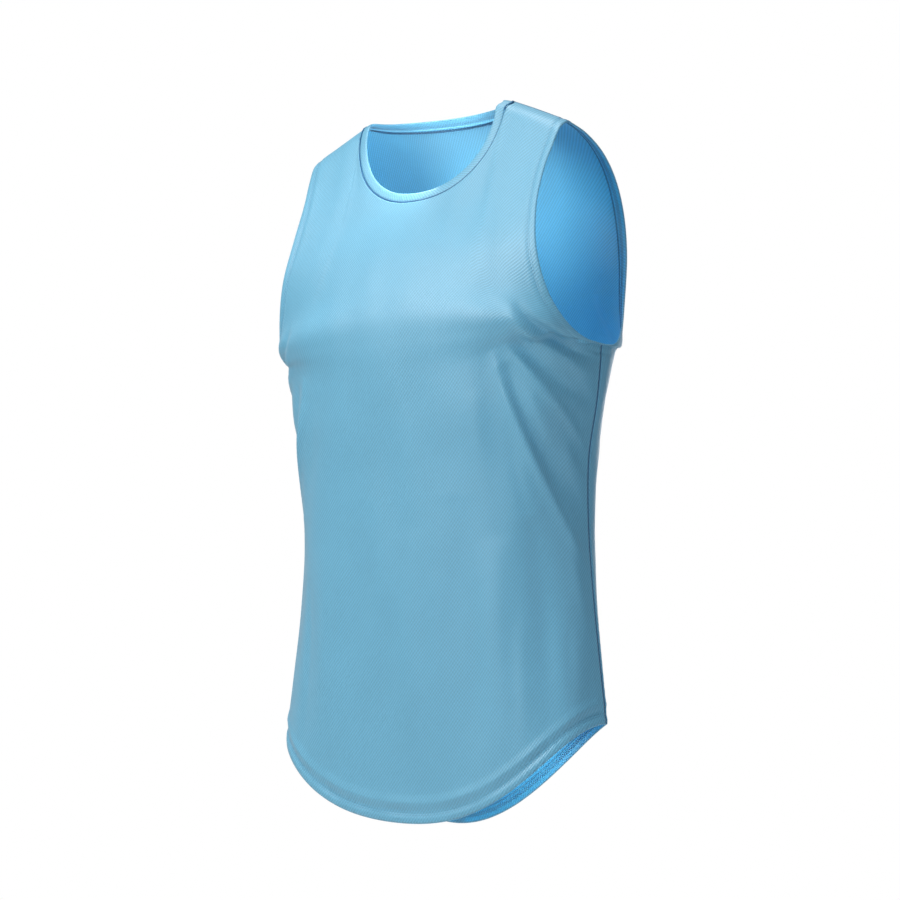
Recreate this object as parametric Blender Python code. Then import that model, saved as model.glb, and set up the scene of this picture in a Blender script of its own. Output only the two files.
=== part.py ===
"""A running singlet, filled out as if worn: front, back and neckband, in metres, +Z up.

The front faces -Y and the wearer's left is +X. The origin is midway between the two shoulder straps,
at half a strap's height. Drops are measured down from the highest point of the neckband.
"""

from collections import namedtuple

import bmesh
import bpy
import numpy as np

# ---- Cloth and seams ----
CLOTH = 0.0012
TURNED_EDGE = 0.0020
SEAM_GAP = 0.0003

# ---- Edges that are turned in and sewn down ----
ARMHOLE_TURN = 0.0090
TURN_STEP = 0.0015

# ---- Shoulders and neck ----
STRAP_MIDDLE_DROP = 0.016
NECK_HALF_WIDTH = 0.0905
NECK_POINT_DROP = 0.0034
FRONT_NECK_DEPTH = 0.0966
BACK_NECK_DEPTH = -0.0004
FRONT_NECK_ROUNDNESS = 2.2
BACK_NECK_ROUNDNESS = 2.0

# ---- Mesh density ----
STRAP_COLUMNS = 6
NECK_COLUMNS = 28
SIDE_ROWS = 18
YOKE_ROWS = 13
CURVE_STEPS = 240
LOOP_EVENING = 4
ROUND_MIDDLE = 0.25
UNDERARM_LEVEL = 6
CORNER_REACH = 5
FOLD_LEAN = 0.65

CLOTH_COLOUR = (0.17, 0.52, 0.75, 1.0)
BAND_COLOUR = (0.15, 0.48, 0.72, 1.0)
CLOTH_ROUGHNESS = 0.85

RING_COLUMNS = "mid_drop side_drop half_width mid_y side_y wrap full bend corner swing"
Ring = namedtuple("Ring", RING_COLUMNS, defaults=(1.0, 0.0))
EDGE_COLUMNS = ("side_drop", "side_y", "wrap")
Fold = namedtuple("Fold", "panel across_1 drop_1 across_2 drop_2 bow width height")
HemRow = namedtuple("HemRow", "up out wall")
BandPoint = namedtuple("BandPoint", "into_neck proud")

# One row for each level, from the hem up. mid_* is at the middle of the panel and side_* at its edge,
# which is the side seam up to the underarm and the armhole above it. wrap is how far the cloth turns
# towards the side, in degrees, full makes the section squarer, and bend shapes the row's rise. At
# the hem, corner levels the row out at the side seams and swing lets its left half hang lower.
FRONT_RINGS = (
    #    mid_drop side_drop half_w  mid_y    side_y  wrap  full  bend
    Ring(0.7075, 0.6140, 0.1830, -0.0910, 0.0000, 90.0, 0.05, 2.65, swing=0.012),
    Ring(0.6250, 0.5550, 0.1760, -0.0905, 0.0000, 90.0, 0.04, 2.6, swing=0.006),
    Ring(0.5400, 0.4950, 0.1695, -0.0915, 0.0000, 90.0, 0.03, 2.4),
    Ring(0.4550, 0.4300, 0.1645, -0.0940, 0.0000, 90.0, 0.03, 2.2),
    Ring(0.3750, 0.3620, 0.1650, -0.0965, 0.0000, 90.0, 0.035, 2.0),
    Ring(0.3220, 0.3040, 0.1750, -0.1008, 0.0000, 90.0, 0.035, 2.0),
    Ring(0.2780, 0.2525, 0.1800, -0.1048, 0.0000, 90.0, 0.025, 2.0),
    Ring(0.2480, 0.2490, 0.1795, -0.1068, -0.0300, 78.0, 0.04, 2.0),
    Ring(0.2200, 0.2350, 0.1745, -0.1062, -0.0545, 66.0, 0.06, 2.0),
    Ring(0.1900, 0.2080, 0.1645, -0.0995, -0.0705, 57.0, 0.01, 2.0),
    Ring(0.1520, 0.1680, 0.1555, -0.0860, -0.0760, 50.0, 0.00, 1.8),
    Ring(0.1060, 0.1250, 0.1490, -0.0630, -0.0670, 50.0, 0.00, 1.6),
    Ring(0.0500, 0.0870, 0.1480, -0.0460, -0.0525, 50.0, 0.00, 1.4),
    Ring(0.0130, 0.0590, 0.1510, -0.0370, -0.0400, 50.0, 0.00, 1.25),
    Ring(-0.0110, 0.0400, 0.1530, -0.0310, -0.0295, 50.0, 0.00, 1.2),
    Ring(-0.0215, 0.0315, 0.1533, -0.0190, -0.0155, 50.0, 0.00, 1.2),
)
BACK_RINGS = (
    Ring(0.7125, 0.6140, 0.1830, 0.0170, 0.0000, 90.0, 0.05, 1.9, corner=1.4),
    Ring(0.6250, 0.5550, 0.1760, 0.0300, 0.0000, 90.0, 0.04, 1.9, corner=1.2),
    Ring(0.5400, 0.4950, 0.1695, 0.0430, 0.0000, 90.0, 0.03, 2.0),
    Ring(0.4550, 0.4300, 0.1645, 0.0590, 0.0000, 90.0, 0.03, 2.0),
    Ring(0.3750, 0.3620, 0.1650, 0.0710, 0.0000, 90.0, 0.03, 2.0),
    Ring(0.3130, 0.3040, 0.1750, 0.0835, 0.0000, 90.0, 0.01, 2.0),
    Ring(0.2600, 0.2525, 0.1800, 0.1000, 0.0000, 90.0, 0.03, 2.0),
    Ring(0.2300, 0.2480, 0.1785, 0.1080, 0.0290, 79.0, 0.04, 2.0),
    Ring(0.1980, 0.2310, 0.1730, 0.1110, 0.0490, 70.0, 0.03, 2.0),
    Ring(0.1600, 0.2000, 0.1640, 0.1080, 0.0690, 62.0, 0.01, 2.0),
    Ring(0.1150, 0.1500, 0.1560, 0.0980, 0.0865, 56.0, 0.00, 1.8),
    Ring(0.0700, 0.1080, 0.1510, 0.0810, 0.0895, 50.0, 0.00, 1.6),
    Ring(0.0300, 0.0750, 0.1500, 0.0600, 0.0770, 50.0, 0.00, 1.4),
    Ring(0.0055, 0.0520, 0.1515, 0.0370, 0.0520, 50.0, 0.00, 1.25),
    Ring(-0.0150, 0.0380, 0.1530, 0.0080, 0.0190, 50.0, 0.00, 1.2),
    Ring(-0.0215, 0.0315, 0.1533, -0.0190, -0.0155, 50.0, 0.00, 1.2),
)

# One row for each fold: its two ends as distance across from the middle and drop, how far it bows
# towards the right of its run, its half-width, and its height, which is negative in a trough. A fold
# is highest nearer its first end, by FOLD_LEAN.
FOLDS = (
    #    panel    across_1 drop_1 across_2 drop_2  bow     width   height
    Fold("front", 0.140, 0.221, 0.226, 0.264, 0.010, 0.007, -0.0060),
    Fold("front", 0.136, 0.224, 0.228, 0.284, 0.013, 0.007, 0.0046),
    Fold("front", 0.116, 0.262, 0.228, 0.474, 0.016, 0.0055, 0.0044),
    Fold("front", 0.126, 0.276, 0.226, 0.430, 0.012, 0.010, -0.0046),
    Fold("front", 0.136, 0.248, 0.234, 0.314, 0.010, 0.008, -0.0040),
    Fold("front", 0.128, 0.258, 0.222, 0.362, 0.001, 0.0055, 0.0032),
    Fold("front", 0.104, 0.262, 0.146, 0.420, 0.008, 0.013, -0.0016),
    Fold("front", 0.150, 0.420, 0.186, 0.650, -0.004, 0.016, -0.0034),
    Fold("front", 0.116, 0.440, 0.122, 0.662, 0.003, 0.016, 0.0020),
    Fold("front", 0.070, 0.400, 0.078, 0.640, -0.003, 0.019, -0.0016),
    Fold("front", 0.022, 0.430, 0.016, 0.670, 0.003, 0.018, 0.0015),
    Fold("front", -0.040, 0.400, -0.046, 0.650, 0.003, 0.019, -0.0015),
    Fold("front", -0.098, 0.440, -0.106, 0.660, -0.003, 0.017, 0.0018),
    Fold("front", -0.156, 0.410, -0.172, 0.630, 0.004, 0.018, -0.0020),
    Fold("front", -0.142, 0.222, -0.222, 0.264, -0.009, 0.007, -0.0048),
    Fold("front", -0.150, 0.240, -0.224, 0.290, -0.009, 0.008, 0.0034),
    Fold("front", -0.122, 0.270, -0.224, 0.452, -0.014, 0.007, 0.0034),
    Fold("front", -0.132, 0.278, -0.224, 0.404, -0.010, 0.011, -0.0036),
    Fold("front", -0.108, 0.286, -0.148, 0.430, -0.007, 0.014, -0.0016),
    Fold("back", 0.120, 0.180, 0.178, 0.262, 0.004, 0.011, -0.0030),
    Fold("back", 0.106, 0.224, 0.190, 0.380, 0.010, 0.013, 0.0026),
    Fold("back", 0.128, 0.300, 0.186, 0.460, 0.006, 0.014, -0.0024),
    Fold("back", 0.060, 0.330, 0.096, 0.560, 0.005, 0.017, -0.0022),
    Fold("back", 0.110, 0.480, 0.128, 0.640, -0.003, 0.016, 0.0020),
    Fold("back", 0.014, 0.390, 0.024, 0.660, 0.004, 0.018, 0.0020),
    Fold("back", -0.036, 0.350, -0.054, 0.600, -0.004, 0.018, -0.0022),
    Fold("back", -0.090, 0.430, -0.104, 0.640, 0.003, 0.017, 0.0020),
    Fold("back", -0.118, 0.186, -0.176, 0.270, -0.004, 0.011, -0.0028),
    Fold("back", -0.104, 0.236, -0.188, 0.400, -0.009, 0.013, 0.0028),
    Fold("back", -0.130, 0.310, -0.184, 0.480, -0.006, 0.014, -0.0022),
)

# The hem's rows from its edge up: the turned edge leaves a shallow roll above its stitching.
HEM_ROWS = (
    #      up      out     wall
    HemRow(0.0000, 0.0000, TURNED_EDGE),
    HemRow(0.0045, 0.0002, TURNED_EDGE),
    HemRow(0.0100, -0.0009, TURNED_EDGE),
    HemRow(0.0115, -0.0008, CLOTH),
    HemRow(0.0190, 0.0010, CLOTH),
    HemRow(0.0270, 0.0000, CLOTH),
)

# The neckband's section, from its seam to its folded edge and back along the inside.
BAND_SECTION = (
    BandPoint(0.0003, 0.0003),
    BandPoint(0.0030, 0.0007),
    BandPoint(0.0085, 0.0006),
    BandPoint(0.0103, -0.0004),
    BandPoint(0.0085, -0.0015),
    BandPoint(0.0003, -0.0016),
)


UNDERARM_ROW = len(HEM_ROWS) - 1 + SIDE_ROWS


def z_of(drop):
    return STRAP_MIDDLE_DROP - drop


def ring_at(rings, across, level):
    """The ring at any level, each column read from a smooth curve through the rows.

    The edge turns a corner at the underarm. Its columns bend sharply there, and less so away from it.
    """
    table = np.array(rings)
    last = len(table) - 1
    slope = np.gradient(table, axis=0)
    is_edge = np.isin(Ring._fields, EDGE_COLUMNS)
    corner = UNDERARM_LEVEL
    before = (table[corner] - table[corner - 1] - slope[corner]) * is_edge
    after = (2 * (table[corner + 1] - table[corner]) - slope[corner + 1] - slope[corner]) * is_edge
    at = np.clip(np.asarray(level, float), 0, last)
    low = np.minimum(at.astype(int), last - 1)
    sharp = np.abs(across) ** CORNER_REACH
    slope_out = slope[low] + (sharp * (low == corner))[..., None] * after
    slope_in = slope[low + 1] + (sharp * (low + 1 == corner))[..., None] * before
    t = (at - low)[..., None]
    start = (2 * t**3 - 3 * t**2 + 1) * table[low] + (t**3 - 2 * t**2 + t) * slope_out
    end = (3 * t**2 - 2 * t**3) * table[low + 1] + (t**3 - t**2) * slope_in
    return start + end


def surface(rings, across, level):
    """A point of the form. across runs from -1 at the right edge to 1 at the left, level from the hem up."""
    rows = np.moveaxis(ring_at(rings, across, level), -1, 0)
    mid_drop, side_drop, half_width, mid_y, side_y, wrap, full, bend, corner, swing = rows
    edge = np.radians(wrap)
    angle = across * edge

    def wide(a):
        return (1 + full) * np.sin(a) + full * np.sin(3 * a)

    def deep(a):
        return (1 + full) * np.cos(a) - full * np.cos(3 * a)

    x = half_width * wide(angle) / wide(edge)
    y = side_y + (mid_y - side_y) * (deep(angle) - deep(edge)) / (1 - deep(edge))
    share = x / half_width

    def rise(at):
        return (at**2 + ROUND_MIDDLE**2) ** (bend / 2)

    risen = (rise(share) - rise(0)) / (rise(1) - rise(0))
    risen = 1 - np.clip(1 - risen, 0, 1) ** corner
    drop = mid_drop + (side_drop - mid_drop) * risen + swing * share * (1 - share**2)
    return np.stack(np.broadcast_arrays(x, y, z_of(drop)), axis=-1)


def halved(low, high, is_low, steps=36):
    """Each value where is_low changes from true to false, found by halving."""
    for _ in range(steps):
        middle = (low + high) / 2
        below = is_low(middle)
        low = np.where(below, middle, low)
        high = np.where(below, high, middle)
    return (low + high) / 2


def across_at(rings, x, level):
    start = np.zeros_like(x)
    return halved(start - 1, start + 1, lambda across: surface(rings, across, level)[..., 0] < x)


def level_at(rings, x, drop):
    start = np.zeros_like(x)

    def is_under(level):
        return surface(rings, across_at(rings, x, level), level)[..., 2] < z_of(drop)

    return halved(start + UNDERARM_LEVEL, start + len(rings) - 1, is_under)


def run_of(points):
    """Distance along each line of points, which run down the first axis."""
    steps = np.linalg.norm(np.diff(points, axis=0), axis=-1)
    return np.concatenate([np.zeros_like(steps[:1]), np.cumsum(steps, axis=0)])


def top_edge(rings, depth, roundness):
    """across and level along the left shoulder, round the neckline and along the right shoulder."""
    top = len(rings) - 1.0
    neck = float(across_at(rings, np.array(NECK_HALF_WIDTH), top))
    turn = np.linspace(0, np.pi, CURVE_STEPS + 1)
    x = NECK_HALF_WIDTH * np.sign(np.cos(turn)) * np.abs(np.cos(turn)) ** (2 / roundness)
    level = level_at(rings, x, NECK_POINT_DROP + depth * np.sin(turn) ** (2 / roundness))
    level[[0, -1]] = top
    across = across_at(rings, x, level)
    across[[0, -1]] = neck, -neck
    run = run_of(surface(rings, across, level))
    stops = np.linspace(0, run[-1], NECK_COLUMNS + 1)
    rail = 1 - (ARMHOLE_TURN + TURN_STEP) / half_arc(rings, top)
    first = [1, 1 - ARMHOLE_TURN / half_arc(rings, top)]
    shoulder = np.concatenate([first, np.linspace(rail, neck, STRAP_COLUMNS - 1)[:-1]])
    all_across = np.concatenate([shoulder, np.interp(stops, run, across), -shoulder[::-1]])
    level_of_neck = np.interp(stops, run, level)
    level_of_strap = np.full(len(shoulder), top)
    return all_across, np.concatenate([level_of_strap, level_of_neck, level_of_strap])


def half_arc(rings, level):
    """Distance along the form from the middle to the edge at each level."""
    across = np.linspace(0, 1, 41).reshape([-1] + [1] * np.ndim(level))
    return run_of(surface(rings, across, level))[-1]


def panel_points(rings, depth, roundness):
    """The outer face before folds, as [row from the hem up, column from left to right]."""
    top_across, top_level = top_edge(rings, depth, roundness)
    count = len(top_across)
    side = np.linspace(0, UNDERARM_LEVEL, CURVE_STEPS + 1)[:, None] * np.ones(count)
    yoke_share = np.linspace(0, 1, CURVE_STEPS + 1)[1:, None]
    level = np.concatenate([side, UNDERARM_LEVEL + (top_level - UNDERARM_LEVEL) * yoke_share])
    arc = half_arc(rings, level)
    rail = 1 - (ARMHOLE_TURN + TURN_STEP) / arc
    hem_share = np.concatenate([[1, 1], np.linspace(1, -1, count - 4), [-1, -1]])
    share = np.linspace(0, 1, len(level))[:, None]
    ease = share * share * (3 - 2 * share)
    across = rail * ((1 - ease) * hem_share + ease * top_across / rail[-1])
    for side, first, second, third in ((1, 0, 1, 2), (-1, -1, -2, -3)):
        across[:, first] = side
        across[:, second] = side * (1 - ARMHOLE_TURN / arc[:, second])
        across[:, third] = side * rail[:, third]
    points = surface(rings, across, level)
    run = run_of(points)
    grid = []
    for j in range(count):
        underarm = run[CURVE_STEPS, j]
        hem = [row.up for row in HEM_ROWS]
        below = np.linspace(hem[-1], underarm, SIDE_ROWS + 1)[1:]
        above = np.linspace(underarm, run[-1, j], YOKE_ROWS + 1)[1:]
        stops = np.concatenate([hem, below, above])
        grid.append([np.interp(stops, run[:, j], points[:, j, k]) for k in range(3)])
    return np.moveaxis(np.array(grid), [0, 1, 2], [1, 2, 0])


def seam_points(shape):
    """Which points of the grid lie on a side seam or a shoulder seam."""
    on_seam = np.zeros(shape, bool)
    on_seam[: UNDERARM_ROW + 1, [0, -1]] = True
    on_seam[-1, : STRAP_COLUMNS + 1] = True
    on_seam[-1, -STRAP_COLUMNS - 1 :] = True
    return on_seam


def normals_of(points, facing):
    """Unit normals, which stay level with the seam plane along the shoulders and side seams."""
    normal = np.cross(np.gradient(points, axis=0), np.gradient(points, axis=1)) * facing
    normal[seam_points(points.shape[:2]), 1] = 0
    return unit(normal)


def fold_height(name, points):
    """How far the folds and the hem's roll move each point out of the form."""
    middle = points.shape[1] // 2
    run = run_of(np.swapaxes(points, 0, 1)).T
    across = run[:, middle : middle + 1] - run
    drop = STRAP_MIDDLE_DROP - points[..., 2]
    height = np.zeros_like(drop)
    for fold in FOLDS:
        if fold.panel != name:
            continue
        start = np.array([fold.across_1, fold.drop_1])
        end = np.array([fold.across_2, fold.drop_2])
        length = np.linalg.norm(end - start)
        along = (end - start) / length
        offset = np.stack([across, drop], axis=-1) - start
        share = np.clip(offset @ along / length, 0, 1)
        side = offset @ np.array([-along[1], along[0]]) - fold.bow * 4 * share * (1 - share)
        height += fold.height * np.sin(np.pi * share**FOLD_LEAN) * np.exp(-((side / fold.width) ** 2))
    edge = np.minimum(run, run[:, -1:] - run)
    height *= np.clip(edge / (2 * ARMHOLE_TURN), 0, 1)
    for row, hem_row in enumerate(HEM_ROWS):
        height[row] += hem_row.out
    return height


def walls(points):
    """Thickness at each point: the cloth, or the turned edge at the hem and along the armholes."""
    thickness = np.full(points.shape[:2], CLOTH)
    for row, hem_row in enumerate(HEM_ROWS):
        thickness[row] = hem_row.wall
    thickness[UNDERARM_ROW:, [0, 1, -2, -1]] = TURNED_EDGE
    return thickness


def new_object(name, points, quads, colour):
    mesh = bpy.data.meshes.new(name)
    mesh.from_pydata([tuple(p) for p in points], [], quads)
    shape = bmesh.new()
    shape.from_mesh(mesh)
    bmesh.ops.recalc_face_normals(shape, faces=shape.faces)
    shape.to_mesh(mesh)
    shape.free()
    mesh.shade_smooth()
    material = bpy.data.materials.new(name)
    material.use_nodes = True
    shader = material.node_tree.nodes["Principled BSDF"]
    shader.inputs["Base Color"].default_value = colour
    shader.inputs["Roughness"].default_value = CLOTH_ROUGHNESS
    shader.inputs["Metallic"].default_value = 0.0
    mesh.materials.append(material)
    built = bpy.data.objects.new(name, mesh)
    bpy.context.scene.collection.objects.link(built)
    return built


def grid_quads(rows, columns, first, closed=False):
    """Quads of a grid whose points are numbered from first, row by row."""
    quads = []
    for r in range(rows - 1):
        for c in range(columns if closed else columns - 1):
            a = first + r * columns + c
            b = first + r * columns + (c + 1) % columns
            quads.append((a, b, b + columns, a + columns))
    return quads


def shell(name, outer, normal, thickness, colour):
    """A wall between the outer grid and the same grid moved in along the normals."""
    rows, columns = outer.shape[:2]
    inner = outer - normal * thickness[..., None]
    size = rows * columns
    quads = grid_quads(rows, columns, 0) + grid_quads(rows, columns, size)
    rim = [c for c in range(columns)]
    rim += [r * columns + columns - 1 for r in range(1, rows)]
    rim += [(rows - 1) * columns + c for c in range(columns - 2, -1, -1)]
    rim += [r * columns for r in range(rows - 2, 0, -1)]
    for a, b in zip(rim, rim[1:] + rim[:1]):
        quads.append((a, b, b + size, a + size))
    points = np.concatenate([outer.reshape(-1, 3), inner.reshape(-1, 3)])
    return new_object(name, points, quads, colour)


def panel(name, rings, depth, roundness, facing):
    """The outer face of the front, whose facing is 1, or of the back, -1, and its normals."""
    form = panel_points(rings, depth, roundness)
    form[seam_points(form.shape[:2]), 1] -= facing * SEAM_GAP / 2
    outer = form + normals_of(form, facing) * fold_height(name, form)[..., None]
    return outer, normals_of(outer, facing)


def unit(vectors):
    return vectors / np.linalg.norm(vectors, axis=-1, keepdims=True)


def evened(vectors):
    """Directions round a loop, each averaged with its neighbours."""
    for _ in range(LOOP_EVENING):
        vectors = unit(np.roll(vectors, 1, axis=0) + 2 * vectors + np.roll(vectors, -1, axis=0))
    return vectors


def neck_loop(front, back):
    """The seam round the neck, from the left shoulder by the front, with its two directions."""
    edge = slice(STRAP_COLUMNS, STRAP_COLUMNS + NECK_COLUMNS + 1)
    seam, normal = [
        np.concatenate([front[k][-1, edge][:-1], back[k][-1, edge][::-1][:-1]]) for k in (0, 1)
    ]
    seam[[0, NECK_COLUMNS], 1] += SEAM_GAP / 2
    normal = evened(normal)
    normal[[0, NECK_COLUMNS], 1] = 0
    normal = unit(normal)
    tangent = np.roll(seam, -1, axis=0) - np.roll(seam, 1, axis=0)
    inward = unit(np.cross(tangent, normal))
    inward *= np.sign(((seam.mean(axis=0) - seam) * inward).sum(axis=1, keepdims=True))
    inward = evened(inward)
    front[1][-1, edge][:-1] = normal[:NECK_COLUMNS]
    front[1][-1, edge][-1] = normal[NECK_COLUMNS]
    back[1][-1, edge] = np.concatenate([normal[NECK_COLUMNS:], normal[:1]])[::-1]
    return seam, normal, inward


def neckband(seam, normal, inward):
    """A ring along the neck seam, its section set on each point's own directions."""
    rings = [seam + inward * p.into_neck + normal * p.proud for p in BAND_SECTION]
    points = np.stack(rings, axis=1).reshape(-1, 3)
    around, section = len(seam), len(BAND_SECTION)
    quads = []
    for i in range(around):
        here, following = i * section, (i + 1) % around * section
        for j in range(section):
            k = (j + 1) % section
            quads.append((here + j, here + k, following + k, following + j))
    return new_object("neckband", points, quads, BAND_COLOUR)


def main():
    for old in list(bpy.data.objects):
        bpy.data.objects.remove(old, do_unlink=True)
    front = panel("front", FRONT_RINGS, FRONT_NECK_DEPTH, FRONT_NECK_ROUNDNESS, 1)
    back = panel("back", BACK_RINGS, BACK_NECK_DEPTH, BACK_NECK_ROUNDNESS, -1)
    loop = neck_loop(front, back)
    for name, (outer, normal) in (("front_panel", front), ("back_panel", back)):
        shell(name, outer, normal, walls(outer), CLOTH_COLOUR)
    neckband(*loop)


main()
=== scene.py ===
"""A running singlet's knit cloth, turned edges, neckband and sewing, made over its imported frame.

The front faces -Y and the wearer's left is +X. Drops are measured down from the neckband's highest point.
"""

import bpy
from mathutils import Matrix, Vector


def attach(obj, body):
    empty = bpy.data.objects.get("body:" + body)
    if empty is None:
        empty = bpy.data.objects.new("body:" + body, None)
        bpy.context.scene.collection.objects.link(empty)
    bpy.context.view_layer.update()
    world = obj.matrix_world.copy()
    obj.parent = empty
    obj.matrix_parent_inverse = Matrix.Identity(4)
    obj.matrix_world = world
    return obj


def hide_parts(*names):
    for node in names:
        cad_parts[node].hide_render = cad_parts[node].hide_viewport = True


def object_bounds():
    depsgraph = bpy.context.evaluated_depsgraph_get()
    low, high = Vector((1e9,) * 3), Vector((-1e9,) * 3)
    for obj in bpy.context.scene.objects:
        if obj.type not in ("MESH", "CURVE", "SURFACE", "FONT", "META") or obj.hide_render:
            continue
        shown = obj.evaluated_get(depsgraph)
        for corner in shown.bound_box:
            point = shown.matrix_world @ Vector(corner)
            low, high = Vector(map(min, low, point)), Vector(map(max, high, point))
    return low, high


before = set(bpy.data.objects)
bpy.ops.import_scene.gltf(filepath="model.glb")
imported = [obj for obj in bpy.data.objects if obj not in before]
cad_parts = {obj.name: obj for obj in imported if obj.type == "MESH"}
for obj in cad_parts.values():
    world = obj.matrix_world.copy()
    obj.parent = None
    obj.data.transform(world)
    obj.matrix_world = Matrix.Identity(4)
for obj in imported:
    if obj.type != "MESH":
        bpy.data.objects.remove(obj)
CAD_BOX = [list(corner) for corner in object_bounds()]

from collections import namedtuple
from functools import lru_cache

import bpy
import numpy as np
from bpy.props import FloatProperty, FloatVectorProperty, PointerProperty
from mathutils import Matrix, Vector
from mathutils.bvhtree import BVHTree

bl_info = {
    "name": "Running singlet",
    "version": (1, 0, 0),
    "blender": (4, 5, 0),
    "location": "3D View > Sidebar > Singlet",
    "description": "Dresses a singlet's frame in knit cloth, turned edges, a neckband and sewing",
    "category": "Mesh",
}

# ------------------------------------------------------------------ the form

STRAP_MIDDLE_DROP = 0.016
NECK_HALF_WIDTH = 0.0905
NECK_POINT_DROP = 0.0034
UNDERARM_LEVEL = 6
CORNER_REACH = 5
FOLD_LEAN = 0.65
ROUND_MIDDLE = 0.25
SEAM_GAP = 0.0003

RING_COLUMNS = "mid_drop side_drop half_width mid_y side_y wrap full bend corner swing"
Ring = namedtuple("Ring", RING_COLUMNS, defaults=(1.0, 0.0))
EDGE_COLUMNS = ("side_drop", "side_y", "wrap")
Fold = namedtuple("Fold", "across_1 drop_1 across_2 drop_2 bow width height")
Relief = namedtuple("Relief", "from_edge out")
BandPoint = namedtuple("BandPoint", "into_neck proud")
TurnPoint = namedtuple("TurnPoint", "out share walls inside")
Panel = namedtuple("Panel", "node rings neck_depth neck_roundness facing")

# One row for each level, from the hem up. mid_* is at the middle of the panel and side_* at its edge,
# which is the side seam up to the underarm and the armhole above it. wrap is how far the cloth turns
# towards the side, in degrees, full makes the section squarer, and bend shapes the row's rise. At
# the hem, corner levels the row out at the side seams and swing lets its left half hang lower.
FRONT_RINGS = (
    #    mid_drop side_drop half_w  mid_y    side_y  wrap  full  bend
    Ring(0.7075, 0.6140, 0.1830, -0.0910, 0.0000, 90.0, 0.05, 2.65, swing=0.012),
    Ring(0.6250, 0.5550, 0.1760, -0.0905, 0.0000, 90.0, 0.04, 2.6, swing=0.006),
    Ring(0.5400, 0.4950, 0.1695, -0.0915, 0.0000, 90.0, 0.03, 2.4),
    Ring(0.4550, 0.4300, 0.1645, -0.0940, 0.0000, 90.0, 0.03, 2.2),
    Ring(0.3750, 0.3620, 0.1650, -0.0965, 0.0000, 90.0, 0.035, 2.0),
    Ring(0.3220, 0.3040, 0.1750, -0.1008, 0.0000, 90.0, 0.035, 2.0),
    Ring(0.2780, 0.2525, 0.1800, -0.1048, 0.0000, 90.0, 0.025, 2.0),
    Ring(0.2480, 0.2490, 0.1795, -0.1068, -0.0300, 78.0, 0.04, 2.0),
    Ring(0.2200, 0.2350, 0.1745, -0.1062, -0.0545, 66.0, 0.06, 2.0),
    Ring(0.1900, 0.2080, 0.1645, -0.0995, -0.0705, 57.0, 0.01, 2.0),
    Ring(0.1520, 0.1680, 0.1555, -0.0860, -0.0760, 50.0, 0.00, 1.8),
    Ring(0.1060, 0.1250, 0.1490, -0.0630, -0.0670, 50.0, 0.00, 1.6),
    Ring(0.0500, 0.0870, 0.1480, -0.0460, -0.0525, 50.0, 0.00, 1.4),
    Ring(0.0130, 0.0590, 0.1510, -0.0370, -0.0400, 50.0, 0.00, 1.25),
    Ring(-0.0110, 0.0400, 0.1530, -0.0310, -0.0295, 50.0, 0.00, 1.2),
    Ring(-0.0215, 0.0315, 0.1533, -0.0190, -0.0155, 50.0, 0.00, 1.2),
)
BACK_RINGS = (
    Ring(0.7125, 0.6140, 0.1830, 0.0170, 0.0000, 90.0, 0.05, 1.9, corner=1.4),
    Ring(0.6250, 0.5550, 0.1760, 0.0300, 0.0000, 90.0, 0.04, 1.9, corner=1.2),
    Ring(0.5400, 0.4950, 0.1695, 0.0430, 0.0000, 90.0, 0.03, 2.0),
    Ring(0.4550, 0.4300, 0.1645, 0.0590, 0.0000, 90.0, 0.03, 2.0),
    Ring(0.3750, 0.3620, 0.1650, 0.0710, 0.0000, 90.0, 0.03, 2.0),
    Ring(0.3130, 0.3040, 0.1750, 0.0835, 0.0000, 90.0, 0.01, 2.0),
    Ring(0.2600, 0.2525, 0.1800, 0.1000, 0.0000, 90.0, 0.03, 2.0),
    Ring(0.2300, 0.2480, 0.1785, 0.1080, 0.0290, 79.0, 0.04, 2.0),
    Ring(0.1980, 0.2310, 0.1730, 0.1110, 0.0490, 70.0, 0.03, 2.0),
    Ring(0.1600, 0.2000, 0.1640, 0.1080, 0.0690, 62.0, 0.01, 2.0),
    Ring(0.1150, 0.1500, 0.1560, 0.0980, 0.0865, 56.0, 0.00, 1.8),
    Ring(0.0700, 0.1080, 0.1510, 0.0810, 0.0895, 50.0, 0.00, 1.6),
    Ring(0.0300, 0.0750, 0.1500, 0.0600, 0.0770, 50.0, 0.00, 1.4),
    Ring(0.0055, 0.0520, 0.1515, 0.0370, 0.0520, 50.0, 0.00, 1.25),
    Ring(-0.0150, 0.0380, 0.1530, 0.0080, 0.0190, 50.0, 0.00, 1.2),
    Ring(-0.0215, 0.0315, 0.1533, -0.0190, -0.0155, 50.0, 0.00, 1.2),
)

PANELS = {
    "front": Panel("front_panel", FRONT_RINGS, 0.0966, 2.2, 1),
    "back": Panel("back_panel", BACK_RINGS, -0.0004, 2.0, -1),
}

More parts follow.
